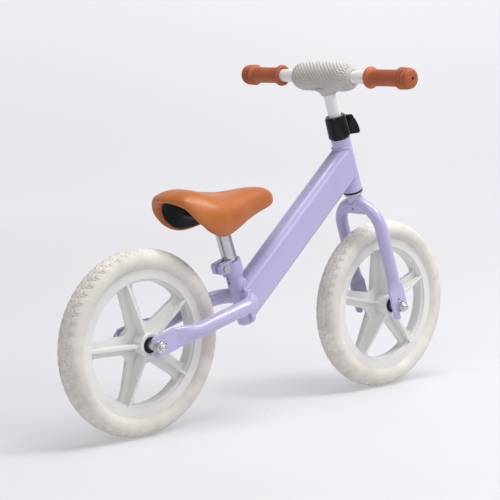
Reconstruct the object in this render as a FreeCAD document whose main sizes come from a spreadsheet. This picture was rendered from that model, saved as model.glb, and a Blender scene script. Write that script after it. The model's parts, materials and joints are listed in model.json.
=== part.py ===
"""Child's balance bike: welded steel frame, foam-tyred wheels, telescoping seat post and handlebar stem.

Frame of the part: +X forward, +Y to the rider's left, +Z up; the origin is on the ground midway between
the wheels.  Three inclined groups share their own local axes: head parts (local Z up the steering axis,
local origin at the front axle), seat parts (local Z up the seat tube) and the main tube.
"""
import FreeCAD, Part
import math
import os
import Sketcher

os.makedirs("parts", exist_ok=True)
doc = FreeCAD.newDocument("balance_bike")
V = FreeCAD.Vector

# ---------------------------------------------------------------- driving dimensions (mm, degrees)
DIMENSIONS = [
    # layout
    ("half_wheelbase", 274), ("wheel_radius", 150), ("head_angle", 19), ("seat_angle", 18.4),
    ("main_angle", 42.6), ("main_offset", 178),
    # wheel
    ("tyre_width", 44), ("tyre_inner", 118), ("bead_width", 28),
    ("rim_face_inner", 103), ("rim_inner", 98.5), ("rim_band_width", 21),
    ("web_thickness", 7), ("window_corner", 9), ("spoke_width_hub", 30), ("spoke_width_rim", 25),
    ("window_inner", 33), ("rib_thickness", 4.5), ("hub_radius", 20), ("hub_half_width", 30),
    ("hub_waist", 17), ("rib_hub_height", 25), ("rib_rim_height", 13.5), ("rib_tip", 103),
    ("rear_spoke_angle", 36), ("front_spoke_angle", 23),
    # bearings and axles
    ("bearing_outer", 26), ("bearing_bore", 10.1), ("bearing_width", 8), ("bearing_recess", 2),
    ("recess_radius", 15.5), ("axle_diameter", 10), ("rear_axle_half", 63), ("front_axle_half", 65),
    ("sleeve_outer", 15), ("washer_outer", 20), ("washer_thickness", 1.8), ("nut_flats", 17),
    ("nut_height", 8), ("axle_end_diameter", 9.4), ("axle_end_chamfer", 0.9),
    ("peg_hole_distance", 14), ("peg_hole_diameter", 4.5),
    ("slot_width", 10.4), ("plate_thickness", 5),
    # rear stays
    ("stay_diameter", 25.4), ("stay_wall", 2), ("stay_half_width", 46), ("stay_angle", 14.2),
    ("stay_drop", 5),
    ("stay_plate_height", 34.5), ("stay_plate_tail", 8), ("stay_crease", 38), ("stay_round_start", 82),
    ("stay_bend", 38), ("stay_reach", 233),
    # fork
    ("fork_diameter", 22.2), ("fork_wall", 2), ("fork_half_width", 47.3), ("fork_arc_start", 150),
    ("fork_plate_width", 34), ("fork_tip", 21), ("fork_crease", 36), ("fork_round_start", 58),
    ("crown_web_bottom", 180.5), ("crown_web_top", 193), ("crown_web_width", 52), ("crown_web_back", 10.4),
    ("crown_web_thickness", 3), ("crown_hole_diameter", 5), ("crown_hole_height", 189),
    # head tube, steerer, stem
    ("head_diameter", 34), ("head_wall", 2), ("head_bottom", 221), ("head_top", 319.5),
    ("bushing_flange", 3), ("bushing_depth", 16), ("steerer_diameter", 25.4), ("steerer_wall", 1.45),
    ("steerer_bottom", 198), ("steerer_top", 356), ("crown_race_height", 5),
    ("stem_diameter", 22.2), ("stem_wall", 1.6), ("stem_bottom", 262), ("bar_height", 431.7),
    ("running_gap", 0.05),
    # handlebar
    ("bar_half", 194), ("grip_inner", 103.5), ("grip_outer", 202), ("grip_flange", 18.6),
    ("grip_shaft", 14.2), ("grip_ring", 18.2), ("grip_bore", 11.15), ("grip_hole", 3),
    ("pad_half", 69), ("pad_radius", 25.2), ("pad_end_radius", 15), ("pad_skirt_drop", 31),
    # stem clamp and lever
    ("clamp_bottom", 320.1), ("clamp_height", 40), ("clamp_radius", 19), ("clamp_slit", 3),
    ("ear_thickness", 5.5), ("ear_top", 355), ("ear_bottom", 326), ("ear_lug", 5),
    ("pivot_reach", 25.8), ("pivot_height", 346), ("lever_lug", 7.2), ("lever_width", 20),
    ("lever_tip_reach", 40.5), ("lever_tip_height", 315.5), ("lever_arc", 52), ("lever_wall", 3),
    ("clamp_bolt_diameter", 4), ("clamp_bolt_head", 3.6),
    # seat tube, collar, post
    ("seat_x", -63.8), ("seat_z", 200), ("seat_tube_diameter", 28.6), ("seat_tube_wall", 1.5),
    ("seat_tube_bottom", -49), ("seat_tube_top", 65), ("seat_slit", 4.4), ("keyhole_diameter", 8.5),
    ("keyhole_height", 31), ("collar_bottom", 42), ("collar_height", 24), ("collar_wall", 3.4),
    ("collar_ear_reach", 32), ("collar_ear_thickness", 9), ("collar_gap", 7),
    ("collar_ear_bottom", 52), ("collar_ear_height", 19),
    ("seat_bolt_reach", 23), ("seat_bolt_diameter", 6), ("seat_bolt_head", 5.2),
    ("post_diameter", 25.4), ("post_wall", 1.5), ("post_bottom", -29), ("post_top", 137),
    # main tube
    ("main_height", 62), ("main_width", 38), ("main_corner", 14), ("main_wall", 2),
    ("main_start", 60), ("main_end", 470),
    # saddle
    ("foam_thickness", 20), ("skirt_thickness", 8), ("shell_thickness", 4), ("bracket_thickness", 3),
    ("bracket_height", 346), ("screw_diameter", 5),
]

# saddle stations: x, half width, lower z, upper z
SADDLE_STATIONS = [
    ("tip", 8, 6, 351, 361), ("nose", -4, 18, 345, 372), ("horn", -35, 26, 340, 379),
    ("neck", -75, 36, 332, 378), ("waist", -110, 52, 321, 376), ("hips", -145, 67, 315, 378),
    ("rump", -178, 69, 327, 386), ("tail", -203, 50, 345, 385), ("brim", -218, 22, 358, 374),
]
for station, x, half, low, high in SADDLE_STATIONS:
    DIMENSIONS += [
        (station + "_x", x), (station + "_half_width", half),
        (station + "_low", low), (station + "_high", high),
    ]

sheet = doc.addObject("Spreadsheet::Sheet", "Dim")
for row, (alias, number) in enumerate(DIMENSIONS, start=1):
    sheet.set(f"A{row}", alias)
    sheet.set(f"B{row}", str(number))
    sheet.setAlias(f"B{row}", alias)
doc.recompute()


class Size:
    """A length or angle that keeps the spreadsheet expression it came from."""

    def __init__(self, value, text):
        self.value = float(value)
        self.text = text

    def __add__(self, other):
        return Size(self.value + value_of(other), f"({self.text} + {text_of(other)})")

    def __sub__(self, other):
        return Size(self.value - value_of(other), f"({self.text} - {text_of(other)})")

    def __rsub__(self, other):
        return Size(value_of(other) - self.value, f"({text_of(other)} - {self.text})")

    def __mul__(self, other):
        return Size(self.value * value_of(other), f"({self.text} * {text_of(other)})")

    def __truediv__(self, other):
        return Size(self.value / value_of(other), f"({self.text} / {text_of(other)})")

    def __neg__(self):
        return Size(-self.value, f"(0 - {self.text})")

    __radd__ = __add__
    __rmul__ = __mul__


def value_of(number):
    return number.value if isinstance(number, Size) else float(number)


def text_of(number):
    return number.text if isinstance(number, Size) else repr(float(number))


def sin_of(angle):
    return Size(math.sin(math.radians(angle.value)), f"sin({angle.text} * 1deg)")


def cos_of(angle):
    return Size(math.cos(math.radians(angle.value)), f"cos({angle.text} * 1deg)")


D = {alias: Size(number, "Dim." + alias) for alias, number in DIMENSIONS}


# ---------------------------------------------------------------- helpers
NODES = {}
PLANES = {"XY": "XY_Plane", "XZ": "XZ_Plane", "YZ": "YZ_Plane"}
HEAD = dict(x=D["half_wheelbase"], z=D["wheel_radius"], turn=-D["head_angle"])
SEAT = dict(x=D["seat_x"], z=D["seat_z"], turn=-D["seat_angle"])


def place(thing, x=0, y=0, z=0, turn=0, axis=(0, 1, 0)):
    """Put an object at x, y, z, turned about an axis, with its numbers bound to the sheet."""
    rotation = FreeCAD.Rotation(V(*axis), value_of(turn))
    thing.Placement = FreeCAD.Placement(V(value_of(x), value_of(y), value_of(z)), rotation)
    for letter, number in (("x", x), ("y", y), ("z", z)):
        if isinstance(number, Size):
            thing.setExpression("Placement.Base." + letter, number.text)
    if isinstance(turn, Size):
        thing.setExpression("Placement.Rotation.Angle", f"{turn.text} * 1deg")
    return thing


def bind(thing, **sizes):
    for name, number in sizes.items():
        setattr(thing, name, value_of(number))
        if isinstance(number, Size):
            thing.setExpression(name, number.text)
    return thing


def node(name, thing):
    thing.Label = name
    NODES[name] = thing
    return thing


def cylinder(radius, length, z=0, x=0, y=0):
    rod = doc.addObject("Part::Cylinder", "rod")
    bind(rod, Radius=radius, Height=length)
    return place(rod, x=x, y=y, z=z)


def cylinder_along_y(radius, length, x=0, y=0, z=0):
    """Cylinder whose axis runs along +Y from y."""
    rod = doc.addObject("Part::Cylinder", "rod")
    bind(rod, Radius=radius, Height=length)
    return place(rod, x=x, y=y, z=z, turn=-90, axis=(1, 0, 0))


def block(length, width, height, x=0, y=0, z=0):
    """Box that spans x..x+length, and is centred on y."""
    box = doc.addObject("Part::Box", "block")
    bind(box, Length=length, Width=width, Height=height)
    return place(box, x=x, y=y - width / 2, z=z)


def cut(base, *tools):
    result = base
    for tool in tools:
        step = doc.addObject("Part::Cut", "cut")
        step.Base = result
        step.Tool = tool
        result = step
    return result


def fuse(*pieces):
    joined = doc.addObject("Part::MultiFuse", "fuse")
    joined.Shapes = list(pieces)
    joined.Refine = True
    return joined


def group(*pieces):
    """Separate solids that share one node."""
    together = doc.addObject("Part::Compound", "group")
    together.Links = list(pieces)
    return together


def moved_copy(thing, x=0, y=0, z=0, turn=0, axis=(0, 1, 0)):
    """A second instance of an object, placed anew."""
    copy = doc.addObject("Part::Compound", "copy")
    copy.Links = [thing]
    return place(copy, x=x, y=y, z=z, turn=turn, axis=axis)


def mirrored(thing):
    """The same piece on the other side of the middle plane y = 0."""
    twin = doc.addObject("Part::Mirroring", "mirror")
    twin.Source = thing
    twin.Base = V(0, 0, 0)
    twin.Normal = V(0, 1, 0)
    return twin


def tube(outer_radius, wall, length, z=0):
    bore = cylinder(outer_radius - wall, length + 2, z=z - 1)
    return cut(cylinder(outer_radius, length, z=z), bore)


def pin_vertex(sketch, edge, end, x, y):
    """Fix an edge's end at x, y from the sketch origin."""
    for kind, number, own_axis in (("DistanceX", x, -2), ("DistanceY", y, -1)):
        if abs(value_of(number)) < 1e-9:
            sketch.addConstraint(Sketcher.Constraint("PointOnObject", edge, end, own_axis))
            continue
        index = sketch.addConstraint(Sketcher.Constraint(kind, -1, 1, edge, end, value_of(number)))
        if isinstance(number, Size):
            sketch.setExpression(f"Constraints[{index}]", number.text)


def draw(sketch, points, closed=True):
    """Outline through points (x, y) or (x, y, radius).

    A radius puts an arc between that point and the next one: positive turns left, negative right.
    """
    count = len(points)
    edges = count if closed else count - 1
    starts = []
    for i in range(edges):
        x1, y1 = value_of(points[i][0]), value_of(points[i][1])
        x2, y2 = value_of(points[(i + 1) % count][0]), value_of(points[(i + 1) % count][1])
        start, end = V(x1, y1, 0), V(x2, y2, 0)
        if len(points[i]) == 2:
            sketch.addGeometry(Part.LineSegment(start, end), False)
            starts.append(1)
            continue
        radius = value_of(points[i][2])
        chord = end - start
        rise = math.sqrt(max(radius ** 2 - (chord.Length / 2) ** 2, 0.0))
        side = 1 if radius > 0 else -1
        left = V(-chord.y, chord.x, 0).normalize() * side
        middle = (start + end) * 0.5 + left * (rise - abs(radius))
        sketch.addGeometry(Part.Arc(start, middle, end), False)
        starts.append(1 if (sketch.Geometry[i].StartPoint - start).Length < 1e-3 else 2)
    for i in range(edges):
        pin_vertex(sketch, i, starts[i], points[i][0], points[i][1])
        if i > 0:
            sketch.addConstraint(Sketcher.Constraint("Coincident", i - 1, 3 - starts[i - 1], i, starts[i]))
    if closed:
        sketch.addConstraint(Sketcher.Constraint("Coincident", edges - 1, 3 - starts[-1], 0, starts[0]))
    else:
        pin_vertex(sketch, edges - 1, 3 - starts[-1], points[-1][0], points[-1][1])
    for i in range(edges):
        if len(points[i]) == 3:
            radius = points[i][2]
            index = sketch.addConstraint(Sketcher.Constraint("Radius", i, abs(value_of(radius))))
            if isinstance(radius, Size):
                sign = "" if radius.value > 0 else "0 - "
                sketch.setExpression(f"Constraints[{index}]", sign + radius.text)
    return sketch


def body_sketch(body, plane, points, closed=True):
    sketch = body.newObject("Sketcher::SketchObject", "outline")
    wanted = [f for f in body.Origin.OriginFeatures if f.Role == PLANES[plane]]
    sketch.AttachmentSupport = [(wanted[0], "")]
    sketch.MapMode = "FlatFace"
    return draw(sketch, points, closed)


def new_body():
    return doc.addObject("PartDesign::Body", "body")


def revolved(points):
    """Solid of revolution about local Z; points are (radius, z)."""
    body = new_body()
    outline = body_sketch(body, "XZ", points)
    turn = body.newObject("PartDesign::Revolution", "revolution")
    turn.Profile = outline
    turn.ReferenceAxis = (outline, ["V_Axis"])
    turn.Angle = 360
    return body


def padded(plane, points, length):
    """Prism of a closed outline, centred on its plane."""
    body = new_body()
    outline = body_sketch(body, plane, points)
    prism = body.newObject("PartDesign::Pad", "pad")
    prism.Profile = outline
    prism.Midplane = True
    bind(prism, Length=length)
    return body


def loose_sketch(points, closed=True, x=0, y=0, z=0, turn=0, axis=(0, 1, 0)):
    """Sketch outside any body, for sweeps, lofts and offsets."""
    sketch = doc.addObject("Sketcher::SketchObject", "path")
    draw(sketch, points, closed)
    return place(sketch, x=x, y=y, z=z, turn=turn, axis=axis)


def circle(radius, x=0, y=0, z=0, turn=0, axis=(0, 1, 0)):
    ring = doc.addObject("Part::Circle", "ring")
    bind(ring, Radius=radius)
    return place(ring, x=x, y=y, z=z, turn=turn, axis=axis)


def swept(path, section, edges):
    sweep = doc.addObject("Part::Sweep", "sweep")
    sweep.Sections = [section]
    sweep.Spine = (path, [f"Edge{i + 1}" for i in range(edges)])
    sweep.Solid = True
    sweep.Frenet = False
    sweep.Transition = "Right corner"
    return sweep


def lofted(sections, ruled=False):
    loft = doc.addObject("Part::Loft", "loft")
    loft.Sections = sections
    loft.Solid = True
    loft.Ruled = ruled
    return loft


def in_group(thing, axes):
    """Carry a piece from a group's local axes into the part's frame."""
    return moved_copy(thing, x=axes["x"], z=axes["z"], turn=axes["turn"])


# ---------------------------------------------------------------- wheels
def rim_ring():
    """Rim: outer band under the tyre, two flat side faces and a stepped inner band."""
    outer = D["tyre_inner"] - 0.05
    half = D["bead_width"] / 2
    band = D["rim_band_width"] / 2
    return revolved([
        (D["rim_inner"], -band + 2), (D["rim_inner"] + 1.2, -band), (D["rim_face_inner"] - 1, -band),
        (D["rim_face_inner"], -half), (outer, -half), (outer, half), (D["rim_face_inner"], half),
        (D["rim_face_inner"] - 1, band), (D["rim_inner"] + 1.2, band), (D["rim_inner"], band - 2),
    ])


def hub_barrel():
    """Hub with a waist, a bearing seat and a shallow recess at each end."""
    half = D["hub_half_width"]
    seat = D["bearing_outer"] / 2 + 0.02
    shoulder = half - D["bearing_recess"] - D["bearing_width"]
    mouth = half - D["bearing_recess"]
    bore = seat - 3
    return revolved([
        (bore, -shoulder), (seat, -shoulder), (seat, -mouth), (D["recess_radius"], -mouth),
        (D["recess_radius"], -half), (D["hub_radius"] - 1, -half), (D["hub_radius"], -half + 1),
        (D["hub_waist"], 0), (D["hub_radius"], half - 1), (D["hub_radius"] - 1, half),
        (D["recess_radius"], half), (D["recess_radius"], mouth), (seat, mouth), (seat, shoulder),
        (bore, shoulder),
    ])


def spoke_window():
    """One opening between two spokes, with rounded corners, as a cutter."""
    count = 5
    half_angle = math.pi / count
    inner, outer = D["window_inner"], D["rim_inner"] + 0.5
    direction = (math.cos(half_angle), math.sin(half_angle))
    corners = []
    for radius, width, side in (
        (inner, D["spoke_width_hub"], -1), (outer, D["spoke_width_rim"], -1),
        (outer, D["spoke_width_rim"], 1), (inner, D["spoke_width_hub"], 1),
    ):
        # a point beside a spoke: radius along the spoke, half the spoke's width off it
        along = (direction[0], side * direction[1])
        away = (direction[1], -side * direction[0])
        corners.append((radius * along[0] + width / 2 * away[0], radius * along[1] + width / 2 * away[1]))
    corners[1] = corners[1] + (outer,)
    sharp = loose_sketch(corners)
    shrunk = doc.addObject("Part::Offset2D", "shrunk")
    shrunk.Source = sharp
    bind(shrunk, Value=-D["window_corner"])
    rounded = doc.addObject("Part::Offset2D", "rounded")
    rounded.Source = shrunk
    bind(rounded, Value=D["window_corner"])
    cutter = doc.addObject("Part::Extrusion", "window")
    cutter.Base = rounded
    cutter.Dir = V(0, 0, 1)
    cutter.Solid = True
    cutter.Symmetric = True
    bind(cutter, LengthFwd=D["web_thickness"] + 10)
    return cutter


def spoke_rib():
    """Thin rib along a spoke, tall at the hub and level with the rim face at its tip."""
    tall, low = D["rib_hub_height"], D["rib_rim_height"]
    root = D["hub_waist"] - 2
    return padded("XZ", [
        (root, -tall), (D["hub_radius"] + 4, -tall), (D["rib_tip"], -low), (D["rib_tip"] + 1.5, -low + 2),
        (D["rib_tip"] + 1.5, low - 2), (D["rib_tip"], low), (D["hub_radius"] + 4, tall), (root, tall),
    ], D["rib_thickness"])


def build_wheel(prefix, x, spoke_angle):
    """Moulded rim, foam tyre and two sealed bearings; local Z is the axle."""
    count = 5
    disc = tube(D["rim_face_inner"], D["rim_face_inner"] - D["recess_radius"], D["web_thickness"],
                z=-D["web_thickness"] / 2)
    window = spoke_window()
    windows = [moved_copy(window, turn=(i + 0.5) * 360 / count, axis=(0, 0, 1)) for i in range(count)]
    rib = spoke_rib()
    ribs = [moved_copy(rib, turn=i * 360 / count, axis=(0, 0, 1)) for i in range(count)]
    hollow = cylinder(D["bearing_outer"] / 2 + 0.02, 2 * D["hub_half_width"] + 2, z=-D["hub_half_width"] - 1)
    spokes = cut(fuse(*ribs, cut(disc, *windows)), hollow)
    moulding = fuse(rim_ring(), hub_barrel(), spokes)

    def stand(piece):
        spun = moved_copy(piece, turn=spoke_angle, axis=(0, 0, 1))
        return moved_copy(spun, x=x, z=D["wheel_radius"], turn=90, axis=(1, 0, 0))

    node(prefix + "_rim", stand(moulding))
    node(prefix + "_tyre", stand(tyre()))
    node(prefix + "_bearings", stand(bearings()))


def tyre():
    """Foam tyre: flat seat and beads on the rim, bulging walls and a crowned tread."""
    half, bead = D["tyre_width"] / 2, D["bead_width"] / 2
    seat, top = D["tyre_inner"], D["wheel_radius"]
    shoulder = top - 9
    return revolved([
        (seat, -bead), (seat + 6, -half + 3), (shoulder - 6, -half), (shoulder, -half + 1.5),
        (top - 2, -half + 10), (top, -5), (top, 5), (top - 2, half - 10), (shoulder, half - 1.5),
        (shoulder - 6, half), (seat + 6, half - 3), (seat, bead),
    ])


def bearings():
    """Two sealed bearings, one at each end of the hub."""
    inner, outer = D["bearing_bore"] / 2, D["bearing_outer"] / 2
    far = D["hub_half_width"] - D["bearing_recess"]
    ring = revolved([
        (inner, -far), (inner, -far + D["bearing_width"]), (outer, -far + D["bearing_width"]),
        (outer, -far + 0.4), (outer - 0.4, -far), (outer - 2, -far), (outer - 2.4, -far + 0.5),
        (inner + 2.4, -far + 0.5), (inner + 2, -far),
    ])
    return group(ring, moved_copy(ring, turn=180, axis=(1, 0, 0)))


# ---------------------------------------------------------------- axles and their hardware
def hexagon_nut(y):
    """Nut with a chamfered outer face, its inner face at y, threaded hole around the Y axis."""
    flats = D["nut_flats"]
    corner = flats / math.sqrt(3)
    prism = doc.addObject("Part::Prism", "hexagon")
    prism.Polygon = 6
    bind(prism, Circumradius=corner, Height=D["nut_height"])
    dome = revolved([
        (0, 0), (corner + 1, 0), (corner + 1, D["nut_height"] - 2.5),
        (flats / 2 - 0.5, D["nut_height"]), (0, D["nut_height"]),
    ])
    crowned = doc.addObject("Part::Common", "crowned")
    crowned.Base = prism
    crowned.Tool = dome
    drilled = cut(crowned, cylinder(D["axle_diameter"] / 2 + 0.03, D["nut_height"] + 2, z=-1))
    return moved_copy(drilled, y=y, turn=-90, axis=(1, 0, 0))


def plain_washer(y):
    """Round washer, its inner face at y."""
    thick = D["washer_thickness"]
    hole = cylinder(D["axle_diameter"] / 2 + 0.1, thick + 2, z=-1)
    return moved_copy(cut(cylinder(D["washer_outer"] / 2, thick), hole), y=y, turn=-90, axis=(1, 0, 0))


def axle_hardware(prefix, x, half_width, axle_half):
    """Axle with turned-down free ends, hub sleeve, spacers, washers and nuts, symmetric about y = 0."""
    radius = D["axle_diameter"] / 2
    outer_face = half_width + D["plate_thickness"] / 2
    inner_face = half_width - D["plate_thickness"] / 2
    bearing_face = D["hub_half_width"] - D["bearing_recess"]
    inner_bearing_face = bearing_face - D["bearing_width"]
    washer = plain_washer(outer_face + 0.02)
    nut_face = outer_face + D["washer_thickness"] + 0.04
    nut = hexagon_nut(nut_face)
    free, neck, end = D["axle_end_diameter"] / 2, nut_face + D["nut_height"], D["axle_end_chamfer"]
    ends = [
        (free - end, axle_half), (free, axle_half - end), (free, neck + 0.9), (free - 0.5, neck + 0.9),
        (free - 0.5, neck + 0.3), (radius, neck + 0.3),
    ]
    below = [(across, -along) for across, along in reversed(ends)]
    rod = revolved([(0, axle_half), *ends, *below, (0, -axle_half)])
    rod = moved_copy(rod, turn=-90, axis=(1, 0, 0))

    def ring_along_y(outer, length, y):
        hole = cylinder_along_y(radius + 0.05, length + 2, y=y - 1)
        return cut(cylinder_along_y(outer, length, y=y), hole)

    spacer = ring_along_y(D["sleeve_outer"] / 2, inner_face - bearing_face - 0.25, bearing_face + 0.2)
    sleeve = ring_along_y(D["sleeve_outer"] / 2, 2 * inner_bearing_face - 0.4, 0.2 - inner_bearing_face)

    def stand(piece):
        return moved_copy(piece, x=x, z=D["wheel_radius"])

    node(prefix + "_axle", stand(rod))
    node(prefix + "_axle_nuts", stand(group(nut, mirrored(nut))))
    node(prefix + "_axle_washers", stand(group(washer, mirrored(washer))))
    node(prefix + "_axle_spacers", stand(group(spacer, mirrored(spacer))))
    node(prefix + "_hub_sleeve", stand(sleeve))


# ---------------------------------------------------------------- tubes with flattened ends
def flat_section(width, thickness, z, y):
    """Closed flat-oval outline, long along local X, at height z and offset y."""
    long, short = width / 2 - thickness / 2, thickness / 2
    return loose_sketch([
        (-long, -short), (long, -short, short + 0.001), (long, short), (-long, short, short + 0.001),
    ], y=y, z=z)


def round_section(radius, z, y, x):
    """The same kind of outline for the round tube: four arcs."""
    return loose_sketch([
        (-radius * 0.8, -radius * 0.6, radius), (radius * 0.8, -radius * 0.6, radius),
        (radius * 0.8, radius * 0.6, radius), (-radius * 0.8, radius * 0.6, radius),
    ], x=x, y=y, z=z)


def flattened_end(y, radius, width, tip, crease, round_start, corners, shift=0):
    """Pressed-flat tube end along local -Z: slotted plate, then a transition to the round tube.

    corners are the radii of the plate's two end corners, at -X and +X. The round tube's middle
    line is moved by shift along local X from the plate's.
    """
    thick = D["plate_thickness"]
    plate = doc.addObject("Part::Box", "plate")
    bind(plate, Length=width, Width=thick, Height=tip + crease)
    place(plate, x=-width / 2, y=y - thick / 2, z=-tip)
    rounding = doc.addObject("Part::Fillet", "rounded_plate")
    rounding.Base = plate
    doc.recompute()
    low = value_of(-tip)
    ends = []
    for i, edge in enumerate(plate.Shape.Edges):
        along_y = abs(edge.Vertexes[0].Point.y - edge.Vertexes[1].Point.y) > 1
        if along_y and abs(edge.CenterOfMass.z - low) < 0.01:
            corner = corners[0] if edge.CenterOfMass.x < 0 else corners[1]
            ends.append((i + 1, corner, corner))
    rounding.Edges = ends
    slot_radius = D["slot_width"] / 2
    slot = block(2 * slot_radius, thick + 4, tip + 5, x=-slot_radius, y=y, z=-tip - 5)
    eye = cylinder_along_y(slot_radius, thick + 4, y=y - thick / 2 - 2)
    peg_hole = cylinder_along_y(D["peg_hole_diameter"] / 2, thick + 4, y=y - thick / 2 - 2,
                                z=D["peg_hole_distance"])
    dropout = cut(rounding, fuse(slot, eye), peg_hole)
    transition = lofted([flat_section(width, thick, crease, y), round_section(radius, round_start, y, shift)])
    return dropout, transition


def build_fork_tube():
    """Inverted U of round tube, both ends flattened and slotted; local Z up the steering axis."""
    radius, half = D["fork_diameter"] / 2, D["fork_half_width"]
    start, arc = D["fork_round_start"], D["fork_arc_start"]
    path = loose_sketch([
        (half, start), (half, arc, half), (0, arc + half, half), (-half, arc), (-half, start),
    ], closed=False, turn=90, axis=(1, 0, 0))
    solid = moved_copy(swept(path, circle(radius, x=half, z=start), 4), turn=90, axis=(0, 0, 1))
    bore = moved_copy(swept(path, circle(radius - D["fork_wall"], x=half, z=start), 4), turn=90,
                      axis=(0, 0, 1))
    width, tip = D["fork_plate_width"], D["fork_tip"]
    dropout, transition = flattened_end(half, radius, width, tip, D["fork_crease"], start, (8, 3))
    # the prong in front of the slot is cut off on the slant, just below the axle
    slant = padded("XZ", [
        (1 - width / 2, -tip - 10), (width / 2, -1), (width, -1), (width, -tip - 10),
    ], 2 * half + 40)
    end = cut(fuse(dropout, transition), slant)
    pipe = cut(solid, bore)
    screw_way = place(doc.addObject("Part::Cylinder", "screw_way"), x=-30, z=D["crown_hole_height"], turn=90)
    bind(screw_way, Radius=D["crown_hole_diameter"] / 2 + 0.6, Height=60)
    return cut(fuse(pipe, end, mirrored(end)), screw_way), solid


def build_fork():
    fork_tube, fork_outside = build_fork_tube()
    node("fork_tube", in_group(fork_tube, HEAD))
    race_radius = D["head_diameter"] / 2
    steerer_radius = D["steerer_diameter"] / 2
    steerer = tube(steerer_radius, D["steerer_wall"], D["steerer_top"] - D["steerer_bottom"],
                   z=D["steerer_bottom"])
    slit = block(20, 2.5, 30, x=-20, z=D["steerer_top"] - 28)
    node("steerer_tube", in_group(cut(steerer, fork_outside, slit), HEAD))
    top = D["head_bottom"] - D["bushing_flange"] - 0.3
    bottom = top - D["crown_race_height"]
    node("crown_race", in_group(revolved([
        (steerer_radius + 0.05, bottom), (steerer_radius + 2.5, bottom), (race_radius, bottom + 2.5),
        (race_radius, top), (steerer_radius + 0.05, top),
    ]), HEAD))
    back, thick = D["crown_web_back"], D["crown_web_thickness"]
    low = D["crown_web_bottom"]
    web = block(thick, D["crown_web_width"], D["crown_web_top"] - low, x=-back, z=low)
    hole = place(doc.addObject("Part::Cylinder", "hole"), x=-back - 2, z=D["crown_hole_height"], turn=90)
    bind(hole, Radius=D["crown_hole_diameter"] / 2, Height=thick + 4)
    node("fork_crown_web", in_group(cut(web, fork_outside, hole), HEAD))


def build_stay(side, name):
    """Rear stay: flattened slotted end at the axle, straight run, bend inward to the seat tube."""
    radius, half = D["stay_diameter"] / 2, D["stay_half_width"]
    start, bend, reach = D["stay_round_start"], D["stay_bend"], D["stay_reach"]
    straight_end = reach - bend - radius
    path = loose_sketch([
        (start, -half), (straight_end, -half, bend), (straight_end + bend, -half + bend),
        (straight_end + bend, 0),
    ], closed=False)
    place(path, z=-D["stay_drop"])
    solid = swept(path, circle(radius, x=start, y=-half, z=-D["stay_drop"], turn=90), 3)
    bore = swept(path, circle(radius - D["stay_wall"], x=start, y=-half, z=-D["stay_drop"], turn=90), 3)
    dropout, transition = flattened_end(-half, radius, D["stay_plate_height"], D["stay_plate_tail"],
                                        D["stay_crease"], start, (8, 3), shift=D["stay_drop"])
    lying = [moved_copy(piece, turn=90) for piece in (dropout, transition)]
    outside = fuse(solid, *lying)
    whole = cut(outside, bore)
    if side > 0:
        whole = mirrored(whole)
        solid = mirrored(solid)
    tilt = dict(x=-D["half_wheelbase"], z=D["wheel_radius"], turn=-D["stay_angle"])
    seat_column = in_group(cylinder(D["seat_tube_diameter"] / 2, 160, z=-80), SEAT)
    keep = doc.addObject("Part::Box", "keep")
    bind(keep, Length=400, Width=200, Height=400)
    place(keep, x=-400, y=0 if side > 0 else -200, z=0)
    trimmed = doc.addObject("Part::Common", "trimmed")
    trimmed.Base = moved_copy(whole, **tilt)
    trimmed.Tool = keep
    node(name, cut(trimmed, seat_column))
    return moved_copy(solid, **tilt)


# ---------------------------------------------------------------- frame tubes
def build_main_tube(stay_solids):
    """Rounded rectangular tube from the seat tube to the head tube, mitred to both."""
    def bar(shrink, start, end):
        height = D["main_height"] / 2 - shrink
        width = D["main_width"] / 2 - shrink
        corner = D["main_corner"] - shrink
        body = new_body()
        outline = body_sketch(body, "XY", [
            (-height + corner, -width), (height - corner, -width, corner), (height, -width + corner),
            (height, width - corner, corner), (height - corner, width), (-height + corner, width, corner),
            (-height, width - corner), (-height, -width + corner, corner),
        ])
        prism = body.newObject("PartDesign::Pad", "pad")
        prism.Profile = outline
        bind(prism, Length=end - start)
        lean = D["main_angle"]
        # foot of the perpendicular from the origin onto the tube's middle line
        foot_x = -D["main_offset"] * sin_of(lean)
        foot_z = D["main_offset"] * cos_of(lean)
        return place(body, x=foot_x + start * cos_of(lean), z=foot_z + start * sin_of(lean),
                     turn=90 - lean)

    shell = cut(bar(0, D["main_start"], D["main_end"]),
                bar(D["main_wall"], D["main_start"] - 5, D["main_end"] + 5))
    seat_column = in_group(cylinder(D["seat_tube_diameter"] / 2, 400, z=-200), SEAT)
    head_column = in_group(cylinder(D["head_diameter"] / 2, 400, z=100), HEAD)
    behind_seat = in_group(block(200, 200, 400, x=-200, z=-200), SEAT)
    beyond_head = in_group(block(200, 200, 400, x=0, z=100), HEAD)
    node("main_tube", cut(shell, seat_column, head_column, behind_seat, beyond_head, *stay_solids))


def build_frame():
    solids = [build_stay(side, name) for side, name in ((1, "rear_stay_left"), (-1, "rear_stay_right"))]
    build_main_tube(solids)
    head = tube(D["head_diameter"] / 2, D["head_wall"], D["head_top"] - D["head_bottom"], z=D["head_bottom"])
    node("head_tube", in_group(head, HEAD))
    build_bushings()
    build_seat_tube()
    build_seat_clamp()


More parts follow.
